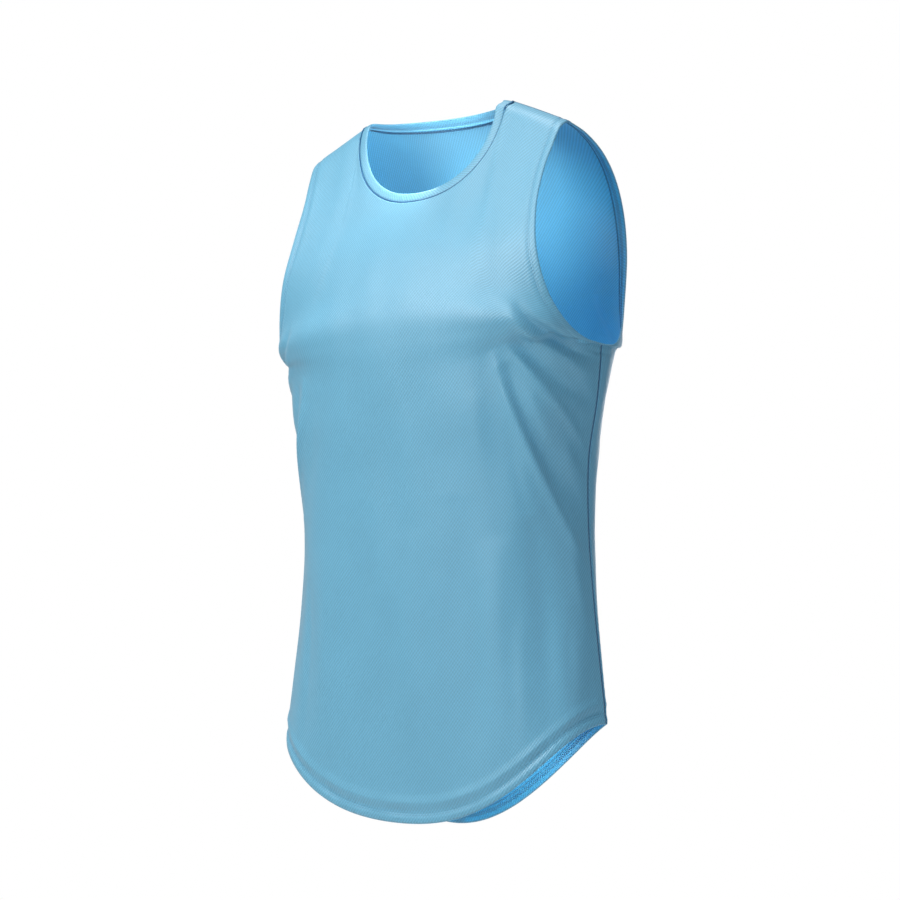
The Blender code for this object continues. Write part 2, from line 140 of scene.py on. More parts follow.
# ---- Creases: two ends as distance across from the middle and drop, how far the crease bows to one
# ---- side, its half-width, and its height, which is negative in a trough. The first rows of each
# ---- panel are the frame's own folds.
FOLDS = {
    "front": (
        # across_1 drop_1 across_2 drop_2  bow     width   height
        (0.140, 0.221, 0.226, 0.264, 0.010, 0.007, -0.0060),
        (0.136, 0.224, 0.228, 0.284, 0.013, 0.007, 0.0046),
        (0.116, 0.262, 0.228, 0.474, 0.016, 0.0055, 0.0044),
        (0.126, 0.276, 0.226, 0.430, 0.012, 0.010, -0.0046),
        (0.136, 0.248, 0.234, 0.314, 0.010, 0.008, -0.0040),
        (0.128, 0.258, 0.222, 0.362, 0.001, 0.0055, 0.0032),
        (0.104, 0.262, 0.146, 0.420, 0.008, 0.013, -0.0016),
        (0.150, 0.420, 0.186, 0.650, -0.004, 0.016, -0.0034),
        (0.116, 0.440, 0.122, 0.662, 0.003, 0.016, 0.0020),
        (0.070, 0.400, 0.078, 0.640, -0.003, 0.019, -0.0016),
        (0.022, 0.430, 0.016, 0.670, 0.003, 0.018, 0.0015),
        (-0.040, 0.400, -0.046, 0.650, 0.003, 0.019, -0.0015),
        (-0.098, 0.440, -0.106, 0.660, -0.003, 0.017, 0.0018),
        (-0.156, 0.410, -0.172, 0.630, 0.004, 0.018, -0.0020),
        (-0.142, 0.222, -0.222, 0.264, -0.009, 0.007, -0.0048),
        (-0.150, 0.240, -0.224, 0.290, -0.009, 0.008, 0.0034),
        (-0.122, 0.270, -0.224, 0.452, -0.014, 0.007, 0.0034),
        (-0.132, 0.278, -0.224, 0.404, -0.010, 0.011, -0.0036),
        (-0.108, 0.286, -0.148, 0.430, -0.007, 0.014, -0.0016),
        # finer ones
        (0.172, 0.262, 0.226, 0.310, 0.002, 0.0050, -0.0012),
        (0.150, 0.300, 0.206, 0.388, 0.006, 0.0050, 0.0011),
        (0.168, 0.330, 0.226, 0.420, 0.007, 0.0045, -0.0010),
        (0.150, 0.228, 0.176, 0.268, 0.002, 0.0045, -0.0012),
        (0.186, 0.350, 0.236, 0.404, 0.003, 0.0055, 0.0010),
        (0.196, 0.430, 0.232, 0.540, 0.004, 0.0070, 0.0011),
        (0.128, 0.330, 0.172, 0.470, 0.008, 0.0060, -0.0009),
        (0.094, 0.300, 0.112, 0.430, 0.004, 0.0080, 0.0009),
        (0.050, 0.470, 0.050, 0.640, 0.002, 0.0080, 0.0010),
        (0.140, 0.520, 0.150, 0.660, -0.002, 0.0075, 0.0010),
        (0.200, 0.520, 0.212, 0.600, 0.002, 0.0070, -0.0009),
        (0.094, 0.480, 0.098, 0.650, 0.002, 0.0070, -0.0009),
        (-0.010, 0.490, -0.014, 0.660, -0.002, 0.0080, -0.0009),
        (-0.072, 0.450, -0.078, 0.630, 0.003, 0.0080, 0.0009),
        (-0.130, 0.470, -0.140, 0.650, -0.003, 0.0075, -0.0010),
        (-0.190, 0.440, -0.208, 0.590, -0.003, 0.0075, 0.0011),
        (-0.170, 0.270, -0.222, 0.320, -0.002, 0.0050, -0.0011),
        (-0.156, 0.310, -0.208, 0.400, -0.006, 0.0055, 0.0011),
        (-0.176, 0.350, -0.228, 0.440, -0.005, 0.0050, -0.0009),
        (-0.150, 0.234, -0.172, 0.270, -0.002, 0.0045, -0.0010),
    ),
    "back": (
        (0.120, 0.180, 0.178, 0.262, 0.004, 0.011, -0.0030),
        (0.106, 0.224, 0.190, 0.380, 0.010, 0.013, 0.0026),
        (0.128, 0.300, 0.186, 0.460, 0.006, 0.014, -0.0024),
        (0.060, 0.330, 0.096, 0.560, 0.005, 0.017, -0.0022),
        (0.110, 0.480, 0.128, 0.640, -0.003, 0.016, 0.0020),
        (0.014, 0.390, 0.024, 0.660, 0.004, 0.018, 0.0020),
        (-0.036, 0.350, -0.054, 0.600, -0.004, 0.018, -0.0022),
        (-0.090, 0.430, -0.104, 0.640, 0.003, 0.017, 0.0020),
        (-0.118, 0.186, -0.176, 0.270, -0.004, 0.011, -0.0028),
        (-0.104, 0.236, -0.188, 0.400, -0.009, 0.013, 0.0028),
        (-0.130, 0.310, -0.184, 0.480, -0.006, 0.014, -0.0022),
        # finer ones
        (0.150, 0.230, 0.196, 0.300, 0.004, 0.0055, 0.0011),
        (0.142, 0.270, 0.190, 0.370, 0.006, 0.0060, -0.0010),
        (0.086, 0.380, 0.120, 0.520, 0.005, 0.0075, 0.0011),
        (0.040, 0.400, 0.060, 0.580, 0.004, 0.0080, 0.0010),
        (0.150, 0.500, 0.158, 0.620, -0.002, 0.0070, -0.0010),
        (-0.012, 0.440, -0.016, 0.640, -0.003, 0.0080, -0.0010),
        (-0.072, 0.380, -0.090, 0.540, -0.004, 0.0080, 0.0011),
        (-0.146, 0.240, -0.192, 0.310, -0.004, 0.0055, 0.0010),
        (-0.140, 0.290, -0.188, 0.390, -0.006, 0.0060, -0.0010),
        (-0.130, 0.500, -0.146, 0.620, 0.002, 0.0070, -0.0009),
    ),
}

# ---- What sewing does to the cloth beside an edge, as distance from the edge and how far out it moves.
ARMHOLE_RELIEF = Relief(
    from_edge=(0.0000, 0.0010, 0.0038, 0.0062, 0.0075, 0.0090, 0.0108, 0.0150),
    out=(-0.0002, 0.0000, 0.0002, -0.0001, -0.0004, -0.0002, 0.0002, 0.0000),
)
HEM_RELIEF = Relief(
    from_edge=(0.0000, 0.0010, 0.0045, 0.0072, 0.0095, 0.0122, 0.0155, 0.0190, 0.0225, 0.0270, 0.0320),
    out=(-0.0003, 0.0000, 0.0003, -0.0004, -0.0012, -0.0009, 0.0003, 0.0013, 0.0008, 0.0001, 0.0000),
)
SEAM_RELIEF = Relief(
    from_edge=(0.0000, 0.0007, 0.0016, 0.0030, 0.0050),
    out=(-0.0010, -0.0005, -0.0001, 0.0002, 0.0000),
)
NECK_RELIEF = Relief(
    from_edge=(0.0000, 0.0006, 0.0012, 0.0022, 0.0045),
    out=(-0.0014, -0.0006, -0.0001, 0.0001, 0.0000),
)

# ---- The neckband's section, from its seam over the folded edge and back along the inside.
BAND_SECTION = (
    BandPoint(-0.0002, -0.0012),
    BandPoint(0.0000, -0.0004),
    BandPoint(0.0006, 0.0003),
    BandPoint(0.0016, 0.0006),
    BandPoint(0.0035, 0.0006),
    BandPoint(0.0060, 0.0005),
    BandPoint(0.0082, 0.0004),
    BandPoint(0.0095, 0.0000),
    BandPoint(0.0100, -0.0005),
    BandPoint(0.0096, -0.0011),
    BandPoint(0.0083, -0.0015),
    BandPoint(0.0060, -0.0016),
    BandPoint(0.0035, -0.0016),
    BandPoint(0.0012, -0.0016),
    BandPoint(0.0002, -0.0015),
)

# ---- A turned edge's section, from the cut edge's foot round the fold to the free edge inside.
# out and share place a point from the cloth's edge into the panel, share as part of the turn's
# width. walls is its depth below the outer face in cloth thicknesses.
TURN_SECTION = (
    TurnPoint(0.0002, 0.00, 0.00, 0.0),
    TurnPoint(-0.0003, 0.00, 0.25, 0.0),
    TurnPoint(-0.0005, 0.00, 0.95, 0.0),
    TurnPoint(-0.0003, 0.00, 1.70, 0.0),
    TurnPoint(0.0003, 0.00, 2.15, 0.0),
    TurnPoint(0.0012, 0.00, 2.40, 1.0),
    TurnPoint(0.0000, 0.45, 2.55, 1.0),
    TurnPoint(-0.0004, 1.00, 2.35, 1.0),
    TurnPoint(0.0000, 1.00, 2.00, 1.0),
    TurnPoint(0.0000, 1.00, 1.55, 1.0),
    TurnPoint(-0.0004, 1.00, 1.40, 1.0),
    TurnPoint(0.0008, 0.00, 1.20, 1.0),
)

# ---- Mesh density of the cloth ----
FINE_STEP = 0.0011
SIDE_FINE = 13
HEM_FINE = 26
UNDERARM_FINE = 12
STRAP_COLUMNS = 16
NECK_COLUMNS = 80
SIDE_ROWS = 104
YOKE_ROWS = 60
CURVE_STEPS = 260
TOP_STEPS = (0.0075, 0.0050, 0.0034, 0.0022, 0.0014, 0.0007)
LOOP_EVENING = 14
NECK_EVENING = 44

# ---- Unevenness of the cloth ----
CREASE_FADE = 0.018
SLACK_WAVES = 14
SLACK_LENGTHS = (0.035, 0.110)
SLACK_SPREAD = 0.35
SLACK_HEIGHT = 0.00045
PUCKER_LENGTHS = (0.0071, 0.0093, 0.0137)
PUCKER_HEIGHT = 0.00022
PUCKER_DRIFT = 0.05
UNDERARM_CLEAR = 0.002
HEM_SWELL = (0.85, 0.35)
HEM_SWELL_STRETCH = 6
HEM_SEAM_SHARE = 0.35
HEM_SEAM_REACH = 0.02
ARMHOLE_PUCKERS = (0.001, 0.006, 0.015)
SEAM_PUCKERS = (0.001, 0.004, 0.012)
HEM_PUCKERS = (0.002, 0.010, 0.030)
ARMHOLE_REACH = 0.10
TURN_REACH = 0.008
NECK_LIGHT_DEPTH = 0.20
NECK_LIGHT_WIDTH = 0.105
KNIT_UV = "knit"
KNIT_SLIMNESS = 0.81
KNIT_SLANT = 0.76

# ---- Loops and stage ----
BAND_STEP = 0.0030
EDGE_STEP = 0.0030
EDGE_REACH = 0.0010
CAMERA_TARGET = (0.0, 0.0, -0.327)
LENS_PER_METRE = 40.0
FLOOR_RADIUS = 1.8
FLOOR_TONE = (0.62, 0.62, 0.62)
TOP_SPREAD = 40.0

Lamp = namedtuple("Lamp", "name kind aim azimuth elevation distance size tint", defaults=((1.0, 1.0, 1.0),))
LAMPS = (
    #    name       kind    aim                      azimuth elevation distance size
    Lamp("key", "AREA", (0.0, -0.05, -0.200), -16.0, 26.0, 1.5, 0.8),
    Lamp("side", "AREA", (0.0, 0.0, -0.500), 84.0, 0.0, 2.8, 1.8, (0.55, 0.80, 1.0)),
    Lamp("neck", "AREA", (-0.07, 0.04, -0.080), 44.0, 24.0, 0.13, 0.06),
    Lamp("armhole", "AREA", (0.14, 0.05, -0.275), -60.0, 0.0, 0.11, 0.05),
    Lamp("hem", "AREA", (0.06, 0.03, -0.700), 24.0, 50.0, 0.12, 0.06),
    Lamp("behind", "AREA", (0.0, 0.0, -0.350), 200.0, 14.0, 2.8, 1.6),
    Lamp("top", "SUN", (0.0, 0.0, -0.327), -30.0, 78.0, 2.8, 0.0),
)

# ---- Sewing ----
BAND_SEAM_WIDTH = 0.0026
BAND_SEAM_LIFT = 0.0005
BAND_SEAM_FLATNESS = 0.6
NECK_LAP = 0.0006
NECK_TAPER = 0.0002
NECK_OVERLOCK = (0.0003, 0.35)
ALLOWANCE = 0.0045
ALLOWANCE_POINTS = 6
ARMHOLE_ROWS = (0.0062, 0.0080)
HEM_ROWS = (0.0076, 0.0098)
BAND_ROWS = (0.0022, 0.0052)
BAND_BACK = -0.0007
BAND_SHADE = 0.1
NECK_SHADE = 0.2
PLY_LENGTH = 0.0011
NEEDLE_SPAN = (0.14, 0.90)
NEEDLE_LIFT = 0.10
LOOPER_LIFT = 0.2
LOOPER_WALLS = 2.55
LOOPER_BACK = (0.0024, 0.0010)
OVERLOCK_LIFT = 0.3
OVERLOCK_SHARE = 0.62
OVERLOCK_WALLS = 2.35
OVERLOCK_ROWS = (0.0004, -0.0014)
ALLOWANCE_GAP_WALLS = 1.3
ALLOWANCE_WALLS = 1.1
NECK_WALLS = 2.4
UNDERARM_PLAIN = 0.016
# Distances from a seam over which the painted shade along it fades out.
SEAM_SHADE_REACH = (0.0007, 0.0016)


def z_of(drop):
    return STRAP_MIDDLE_DROP - drop


def unit(vectors):
    return vectors / np.linalg.norm(vectors, axis=-1, keepdims=True)


def run_of(points):
    """Distance along each line of points, which run down the first axis."""
    steps = np.linalg.norm(np.diff(points, axis=0), axis=-1)
    return np.concatenate([np.zeros_like(steps[:1]), np.cumsum(steps, axis=0)])


def row_run(points):
    """Distance along each row of a grid, from its first column."""
    return run_of(np.swapaxes(points, 0, 1)).T


def read_along(line, run, stops):
    """The points of a line at the given distances along it."""
    return np.stack([np.interp(stops, run, line[:, k]) for k in range(3)], axis=1)


def midway(points):
    """The middles between each point of a loop and the next one."""
    return (points + np.roll(points, -1, axis=0)) / 2


def ring_at(rings, across, level):
    """The ring at any level, each column read from a smooth curve through the rows.

    The edge turns a corner at the underarm. Its columns bend sharply there, and less so away from it.
    """
    table = np.array(rings)
    last = len(table) - 1
    slope = np.gradient(table, axis=0)
    is_edge = np.isin(Ring._fields, EDGE_COLUMNS)
    corner = UNDERARM_LEVEL
    before = (table[corner] - table[corner - 1] - slope[corner]) * is_edge
    after = (2 * (table[corner + 1] - table[corner]) - slope[corner + 1] - slope[corner]) * is_edge
    at = np.clip(np.asarray(level, float), 0, last)
    low = np.minimum(at.astype(int), last - 1)
    sharp = np.abs(across) ** CORNER_REACH
    slope_out = slope[low] + (sharp * (low == corner))[..., None] * after
    slope_in = slope[low + 1] + (sharp * (low + 1 == corner))[..., None] * before
    t = (at - low)[..., None]
    start = (2 * t**3 - 3 * t**2 + 1) * table[low] + (t**3 - 2 * t**2 + t) * slope_out
    end = (3 * t**2 - 2 * t**3) * table[low + 1] + (t**3 - t**2) * slope_in
    return start + end


def surface(rings, across, level):
    """A point of the form. across runs from -1 at the right edge to 1 at the left, level from the hem up."""
    rows = np.moveaxis(ring_at(rings, across, level), -1, 0)
    mid_drop, side_drop, half_width, mid_y, side_y, wrap, full, bend, corner, swing = rows
    edge = np.radians(wrap)
    angle = across * edge

    def wide(a):
        return (1 + full) * np.sin(a) + full * np.sin(3 * a)

    def deep(a):
        return (1 + full) * np.cos(a) - full * np.cos(3 * a)

    x = half_width * wide(angle) / wide(edge)
    y = side_y + (mid_y - side_y) * (deep(angle) - deep(edge)) / (1 - deep(edge))
    share = x / half_width

    def rise(at):
        return (at**2 + ROUND_MIDDLE**2) ** (bend / 2)

    risen = (rise(share) - rise(0)) / (rise(1) - rise(0))
    risen = 1 - np.clip(1 - risen, 0, 1) ** corner
    drop = mid_drop + (side_drop - mid_drop) * risen + swing * share * (1 - share**2)
    return np.stack(np.broadcast_arrays(x, y, z_of(drop)), axis=-1)


def halved(low, high, is_low, steps=36):
    """Each value where is_low changes from true to false, found by halving."""
    for _ in range(steps):
        middle = (low + high) / 2
        below = is_low(middle)
        low = np.where(below, middle, low)
        high = np.where(below, high, middle)
    return (low + high) / 2


def across_at(rings, x, level):
    start = np.zeros_like(x)
    return halved(start - 1, start + 1, lambda across: surface(rings, across, level)[..., 0] < x)


def level_at(rings, x, drop):
    start = np.zeros_like(x)

    def is_under(level):
        return surface(rings, across_at(rings, x, level), level)[..., 2] < z_of(drop)

    return halved(start + UNDERARM_LEVEL, start + len(rings) - 1, is_under)


def half_arc(rings, level):
    """Distance along the form from the middle to the edge at each level."""
    across = np.linspace(0, 1, 33).reshape([-1] + [1] * np.ndim(level))
    return run_of(surface(rings, across, level))[-1]


def side_steps():
    """Distances of the fine columns from a side edge."""
    return np.arange(SIDE_FINE + 1) * FINE_STEP


def top_edge(panel):
    """across and level along the left shoulder, round the neckline and along the right shoulder."""
    rings = panel.rings
    top = len(rings) - 1.0
    neck = float(across_at(rings, np.array(NECK_HALF_WIDTH), top))
    turn = np.linspace(0, np.pi, CURVE_STEPS + 1)
    power = 2 / panel.neck_roundness
    x = NECK_HALF_WIDTH * np.sign(np.cos(turn)) * np.abs(np.cos(turn)) ** power
    level = level_at(rings, x, NECK_POINT_DROP + panel.neck_depth * np.sin(turn) ** power)
    level[[0, -1]] = top
    across = across_at(rings, x, level)
    across[[0, -1]] = neck, -neck
    run = run_of(surface(rings, across, level))
    stops = np.linspace(0, run[-1], NECK_COLUMNS + 1)
    fine = 1 - side_steps() / half_arc(rings, top)
    shoulder = np.concatenate([fine, np.linspace(fine[-1], neck, STRAP_COLUMNS + 1)[1:-1]])
    all_across = np.concatenate([shoulder, np.interp(stops, run, across), -shoulder[::-1]])
    level_of_neck = np.interp(stops, run, level)
    level_of_strap = np.full(len(shoulder), top)
    return all_across, np.concatenate([level_of_strap, level_of_neck, level_of_strap])


def columns_of_neck():
    """The first and last column of the neckline."""
    first = SIDE_FINE + STRAP_COLUMNS
    return first, first + NECK_COLUMNS


@lru_cache(maxsize=None)
def form_points(side):
    """A panel's outer face before its creases, as [row from the hem up, column from left to right]."""
    panel = PANELS[side]
    rings = panel.rings
    top_across, top_level = top_edge(panel)
    count = len(top_across)
    lower = np.linspace(0, UNDERARM_LEVEL, CURVE_STEPS + 1)[:, None] * np.ones(count)
    yoke_share = np.linspace(0, 1, CURVE_STEPS + 1)[1:, None]
    level = np.concatenate([lower, UNDERARM_LEVEL + (top_level - UNDERARM_LEVEL) * yoke_share])
    arc = half_arc(rings, level)
    steps = side_steps()
    rail = 1 - steps[-1] / arc
    body = count - 2 * SIDE_FINE
    hem_share = np.concatenate([np.ones(SIDE_FINE), np.linspace(1, -1, body), -np.ones(SIDE_FINE)])
    share = np.linspace(0, 1, len(level))[:, None]
    ease = share * share * (3 - 2 * share)
    across = rail * ((1 - ease) * hem_share + ease * top_across / rail[-1])
    for column, step in enumerate(steps):
        across[:, column] = 1 - step / arc[:, column]
        across[:, -1 - column] = step / arc[:, -1 - column] - 1
    points = surface(rings, across, level)
    run = run_of(points)
    hem = np.arange(HEM_FINE + 1) * FINE_STEP
    near = np.arange(1, UNDERARM_FINE + 1) * FINE_STEP
    grid = []
    for j in range(count):
        underarm, top = run[CURVE_STEPS, j], run[-1, j]
        below = np.linspace(hem[-1], underarm - near[-1], SIDE_ROWS)[1:]
        above = np.linspace(underarm + near[-1], top - TOP_STEPS[0], YOKE_ROWS)
        around = underarm + np.concatenate([-near[-2::-1], [0.0], near[:-1]])
        tail = top - np.array(TOP_STEPS[1:] + (0.0,))
        stops = np.concatenate([hem, below, around, above, tail])
        grid.append(read_along(points[:, j], run[:, j], stops))
    return np.stack(grid, axis=1)


def underarm_row():
    return HEM_FINE + SIDE_ROWS - 1 + UNDERARM_FINE


def seam_points(shape):
    """Which points of the grid lie on a side seam or a shoulder seam."""
    first, last = columns_of_neck()
    on_seam = np.zeros(shape, bool)
    on_seam[: underarm_row() + 1, [0, -1]] = True
    on_seam[-1, : first + 1] = True
    on_seam[-1, last:] = True
    return on_seam


def normals_of(points, facing):
    """Unit normals, which stay level with the seam plane along the shoulders and side seams."""
    normal = np.cross(np.gradient(points, axis=0), np.gradient(points, axis=1)) * facing
    normal[seam_points(points.shape[:2]), 1] = 0
    return unit(normal)


# ------------------------------------------------------------------ creases, edges and loops


def column_run(points):
    """Distance along each row from the middle column, growing towards the left side."""
    run = row_run(points)
    middle = points.shape[1] // 2
    return run[:, middle : middle + 1] - run


def level_run(points):
    """The same distance measured level, without the rows' rise and fall."""
    return column_run(points * np.array([1.0, 1.0, 0.0]))


def crease_height(side, points):
    """How far the creases move each point out of the form."""
    across = column_run(points)
    drop = STRAP_MIDDLE_DROP - points[..., 2]
    height = np.zeros_like(drop)
    for fold in map(Fold._make, FOLDS[side]):
        start = np.array([fold.across_1, fold.drop_1])
        end = np.array([fold.across_2, fold.drop_2])
        length = np.linalg.norm(end - start)
        along = (end - start) / length
        offset = np.stack([across, drop], axis=-1) - start
        share = np.clip(offset @ along / length, 0, 1)
        aside = offset @ np.array([-along[1], along[0]]) - fold.bow * 4 * share * (1 - share)
        height += fold.height * np.sin(np.pi * share**FOLD_LEAN) * np.exp(-((aside / fold.width) ** 2))
    run = row_run(points)
    edge = np.minimum(run, run[:, -1:] - run)
    height *= np.clip(edge / CREASE_FADE, 0, 1)
    for column in (0, -1):
        reach = near_armhole(points, column)
        distance, _ = nearest_on(points[underarm_row() :, column], points[reach])
        height[reach] *= np.clip((distance - TURN_REACH) / TURN_REACH, 0, 1)
    return height


def near_armhole(points, column):
    """Which points lie on the same side as an edge column, away from the middle."""
    return (np.abs(points[..., 0]) > ARMHOLE_REACH) & (points[..., 0] * points[0, column, 0] > 0)


def slack(points, seed):
    """The gentle unevenness of cloth that nothing pulls straight."""
    rng = np.random.default_rng(seed)
    across = level_run(points)
    drop = STRAP_MIDDLE_DROP - points[..., 2]
    height = np.zeros_like(drop)
    for _ in range(SLACK_WAVES):
        length = rng.uniform(*SLACK_LENGTHS)
        heading = rng.normal(0, SLACK_SPREAD)
        phase = rng.uniform(0, 2 * np.pi)
        height += np.sin(2 * np.pi * (across * np.cos(heading) + drop * np.sin(heading)) / length + phase)
    return height * SLACK_HEIGHT / np.sqrt(SLACK_WAVES)


def relief_at(relief, distance):
    return np.interp(distance, relief.from_edge, relief.out)


def puckers(along, seed):
    """Short uneven waves along a sewn edge, from -1 to 1."""
    rng = np.random.default_rng(seed)
    wave = np.zeros_like(along)
    for length in PUCKER_LENGTHS:
        phase = rng.uniform(0, 2 * np.pi)
        wave += np.sin(2 * np.pi * along / length + phase + 2 * np.sin(along / PUCKER_DRIFT))
    return wave / len(PUCKER_LENGTHS)


def nearest_on(line, points):
    """Distance from each point to a dense line of points, and how far along the line that is."""
    flat = points.reshape(-1, 3)
    run = run_of(line)
    best = np.full(len(flat), np.inf)
    along = np.zeros(len(flat))
    for k in range(len(line) - 1):
        piece = line[k + 1] - line[k]
        share = np.clip((flat - line[k]) @ piece / (piece @ piece), 0, 1)
        gap = np.linalg.norm(flat - line[k] - share[:, None] * piece, axis=1)
        closer = gap < best
        best[closer] = gap[closer]
        along[closer] = run[k] + share[closer] * (run[k + 1] - run[k])
    return best.reshape(points.shape[:-1]), along.reshape(points.shape[:-1])


def edge_relief(side, points):
    """How far the sewn edges move each point out of the form."""
    height = np.zeros(points.shape[:2])
    underarm = underarm_row()
    first, last = columns_of_neck()
    seed = 1 if side == "front" else 2
    for column in (0, -1):
        reach = near_armhole(points, column)
        armhole = points[underarm:, column]
        distance, along = nearest_on(armhole, points[reach])
        relief = relief_at(ARMHOLE_RELIEF, distance)
        fade = np.interp(distance, ARMHOLE_PUCKERS, (0, 1, 0))
        height[reach] += relief + PUCKER_HEIGHT * fade * puckers(along, seed + column)
        seam = points[: underarm + 1, column]
        distance, along = nearest_on(seam, points[reach])
        clear = 1 - np.clip((points[reach][:, 2] - points[underarm, column, 2]) / UNDERARM_CLEAR + 1, 0, 1)
        height[reach] += relief_at(SEAM_RELIEF, distance) * clear
        fade = np.interp(distance, SEAM_PUCKERS, (0, 1, 0)) * clear
        height[reach] += PUCKER_HEIGHT * fade * puckers(along, seed + 5 + column)
    up = run_of(points)
    along = np.broadcast_to(column_run(points)[:1], up.shape)
    swell = HEM_SWELL[0] + HEM_SWELL[1] * puckers(along / HEM_SWELL_STRETCH, seed + 11)
    from_seam = np.minimum(column_run(points)[:1, :1] - along, along - column_run(points)[:1, -1:])
    grown = np.clip(HEM_SEAM_SHARE + from_seam / HEM_SEAM_REACH, 0, 1)
    height += relief_at(HEM_RELIEF, up) * swell * grown
    fade = np.interp(up, HEM_PUCKERS, (0, 1, 0))
    height += PUCKER_HEIGHT * fade * puckers(along, seed + 13)
    down = up[-1:] - up
    columns = np.arange(points.shape[1])
    is_neck = (columns >= first) & (columns <= last)
    height += np.where(is_neck, relief_at(NECK_RELIEF, down), relief_at(SEAM_RELIEF, down))
    return height


@lru_cache(maxsize=None)
def cloth_face(side):
    """A panel's outer face with its creases, its normals, and the smooth normals of its form."""
    panel = PANELS[side]
    form = form_points(side).copy()
    form[seam_points(form.shape[:2]), 1] -= panel.facing * SEAM_GAP / 2
    seed = 21 if side == "front" else 22
    inland = np.clip(np.minimum(run_of(form), run_of(form)[-1:] - run_of(form)) / CREASE_FADE, 0, 1)
    run = row_run(form)
    inland *= np.clip(np.minimum(run, run[:, -1:] - run) / CREASE_FADE, 0, 1)
    height = crease_height(side, form) + slack(form, seed) * inland + edge_relief(side, form)
    form_normal = normals_of(form, panel.facing)
    outer = form + form_normal * height[..., None]
    return outer, normals_of(outer, panel.facing), form_normal


def evened(vectors, times=LOOP_EVENING):
    """Directions round a closed loop, each averaged with its neighbours."""
    for _ in range(times):
        vectors = unit(np.roll(vectors, 1, axis=0) + 2 * vectors + np.roll(vectors, -1, axis=0))
    return vectors


def joined(side_path):
    """A closed loop from the two panels' edges, and its outward normals."""
    points, normals = [], []
    for side, pick in side_path:
        outer, _, form_normal = cloth_face(side)
        points.append(pick(outer)[:-1])
        normals.append(pick(form_normal)[:-1])
    return np.concatenate(points), np.concatenate(normals)


def spaced(points, normals, step):
    """A closed loop resampled at even steps, as near to step as fits it whole."""
    closed = np.concatenate([points, points[:1]])
    run = run_of(closed)
    count = max(8, int(round(run[-1] / step)))
    stops = np.arange(count) * run[-1] / count
    turned = read_along(np.concatenate([normals, normals[:1]]), run, stops)
    return read_along(closed, run, stops), unit(turned)


def armhole_loop(is_left):
    """From the shoulder down the front of an armhole and up its back."""
    column = 0 if is_left else -1
    underarm = underarm_row()
    return joined(
        (
            ("front", lambda grid: grid[underarm:, column][::-1]),
            ("back", lambda grid: grid[underarm:, column]),
        )
    )


def hem_loop():
    """From the left side seam along the front hem and back along the back hem."""
    return joined((("front", lambda grid: grid[0]), ("back", lambda grid: grid[0][::-1])))


def neck_loop():
    """From the left shoulder round the front neck and back along the back neck."""
    first, last = columns_of_neck()
    return joined(
        (
            ("front", lambda grid: grid[-1, first : last + 1]),
            ("back", lambda grid: grid[-1, first : last + 1][::-1]),
        )
    )


def directions(points, normals, towards, times=LOOP_EVENING):
    """Each loop point's outward normal and its direction into the cloth or into the opening."""
    normals = evened(normals, times)
    tangent = np.roll(points, -1, axis=0) - np.roll(points, 1, axis=0)
    across = unit(np.cross(tangent, normals))
    across *= np.sign(((towards - points) * across).sum())
    return normals, evened(across, times)


@lru_cache(maxsize=None)
def cloth_tree():
    """Both outer faces, to find the cloth's nearest place and normal from."""
    vertices, faces, normals = [], [], []
    for side in PANELS:
        outer, _, form_normal = cloth_face(side)
        rows, columns = outer.shape[:2]
        faces += grid_quads(rows, columns, len(vertices))
        vertices += outer.reshape(-1, 3).tolist()
        normals += form_normal.reshape(-1, 3).tolist()
    return BVHTree.FromPolygons(vertices, faces), np.array(vertices), np.array(normals), faces


def on_cloth(points):
    """The nearest places on the outer cloth, and its smooth normals there."""
    tree, vertices, normals, faces = cloth_tree()
    placed, turned = [], []
    for point in points:
        place, _, index, _ = tree.find_nearest(Vector(point))
        corners = list(faces[index])
        gaps = np.linalg.norm(vertices[corners] - np.array(place), axis=1)
        weights = 1 / (gaps + 1e-6)
        placed.append(place)
        turned.append(weights @ normals[corners] / weights.sum())
    return np.array(placed), unit(np.array(turned))


# ------------------------------------------------------------------ mesh making


def grid_quads(rows, columns, first):
    """Quads of a grid whose points are numbered from first, row by row."""
    quads = []
    for r in range(rows - 1):
        for c in range(columns - 1):
            a = first + r * columns + c
            quads.append((a, a + 1, a + 1 + columns, a + columns))
    return quads


def new_mesh_object(name, points, faces, uv=None, facts=None):
    """A smooth object at the origin whose faces point outwards, with a UV map and named values."""
    mesh = bpy.data.meshes.new(name)
    mesh.from_pydata(np.asarray(points).tolist(), [], faces)
    if uv is not None:
        layer = mesh.uv_layers.new(name=KNIT_UV)
        corners = np.empty(len(mesh.loops), int)
        mesh.loops.foreach_get("vertex_index", corners)
        layer.data.foreach_set("uv", np.asarray(uv)[corners].astype(np.float32).ravel())
    for fact, values in (facts or {}).items():
        attribute = mesh.attributes.new(fact, "FLOAT", "POINT")
        attribute.data.foreach_set("value", np.asarray(values, np.float32))
    piece = bpy.data.objects.new(name, mesh)
    bpy.context.scene.collection.objects.link(piece)
    face_outwards(piece)
    mesh.shade_smooth()
    return piece


def face_outwards(piece):
    """Turns every face of a closed piece outwards."""
    bpy.ops.object.select_all(action="DESELECT")
    bpy.context.view_layer.objects.active = piece
    piece.select_set(True)
    bpy.ops.object.mode_set(mode="EDIT")
    bpy.ops.mesh.select_all(action="SELECT")
    bpy.ops.mesh.normals_make_consistent(inside=False)
    bpy.ops.object.mode_set(mode="OBJECT")
    piece.select_set(False)


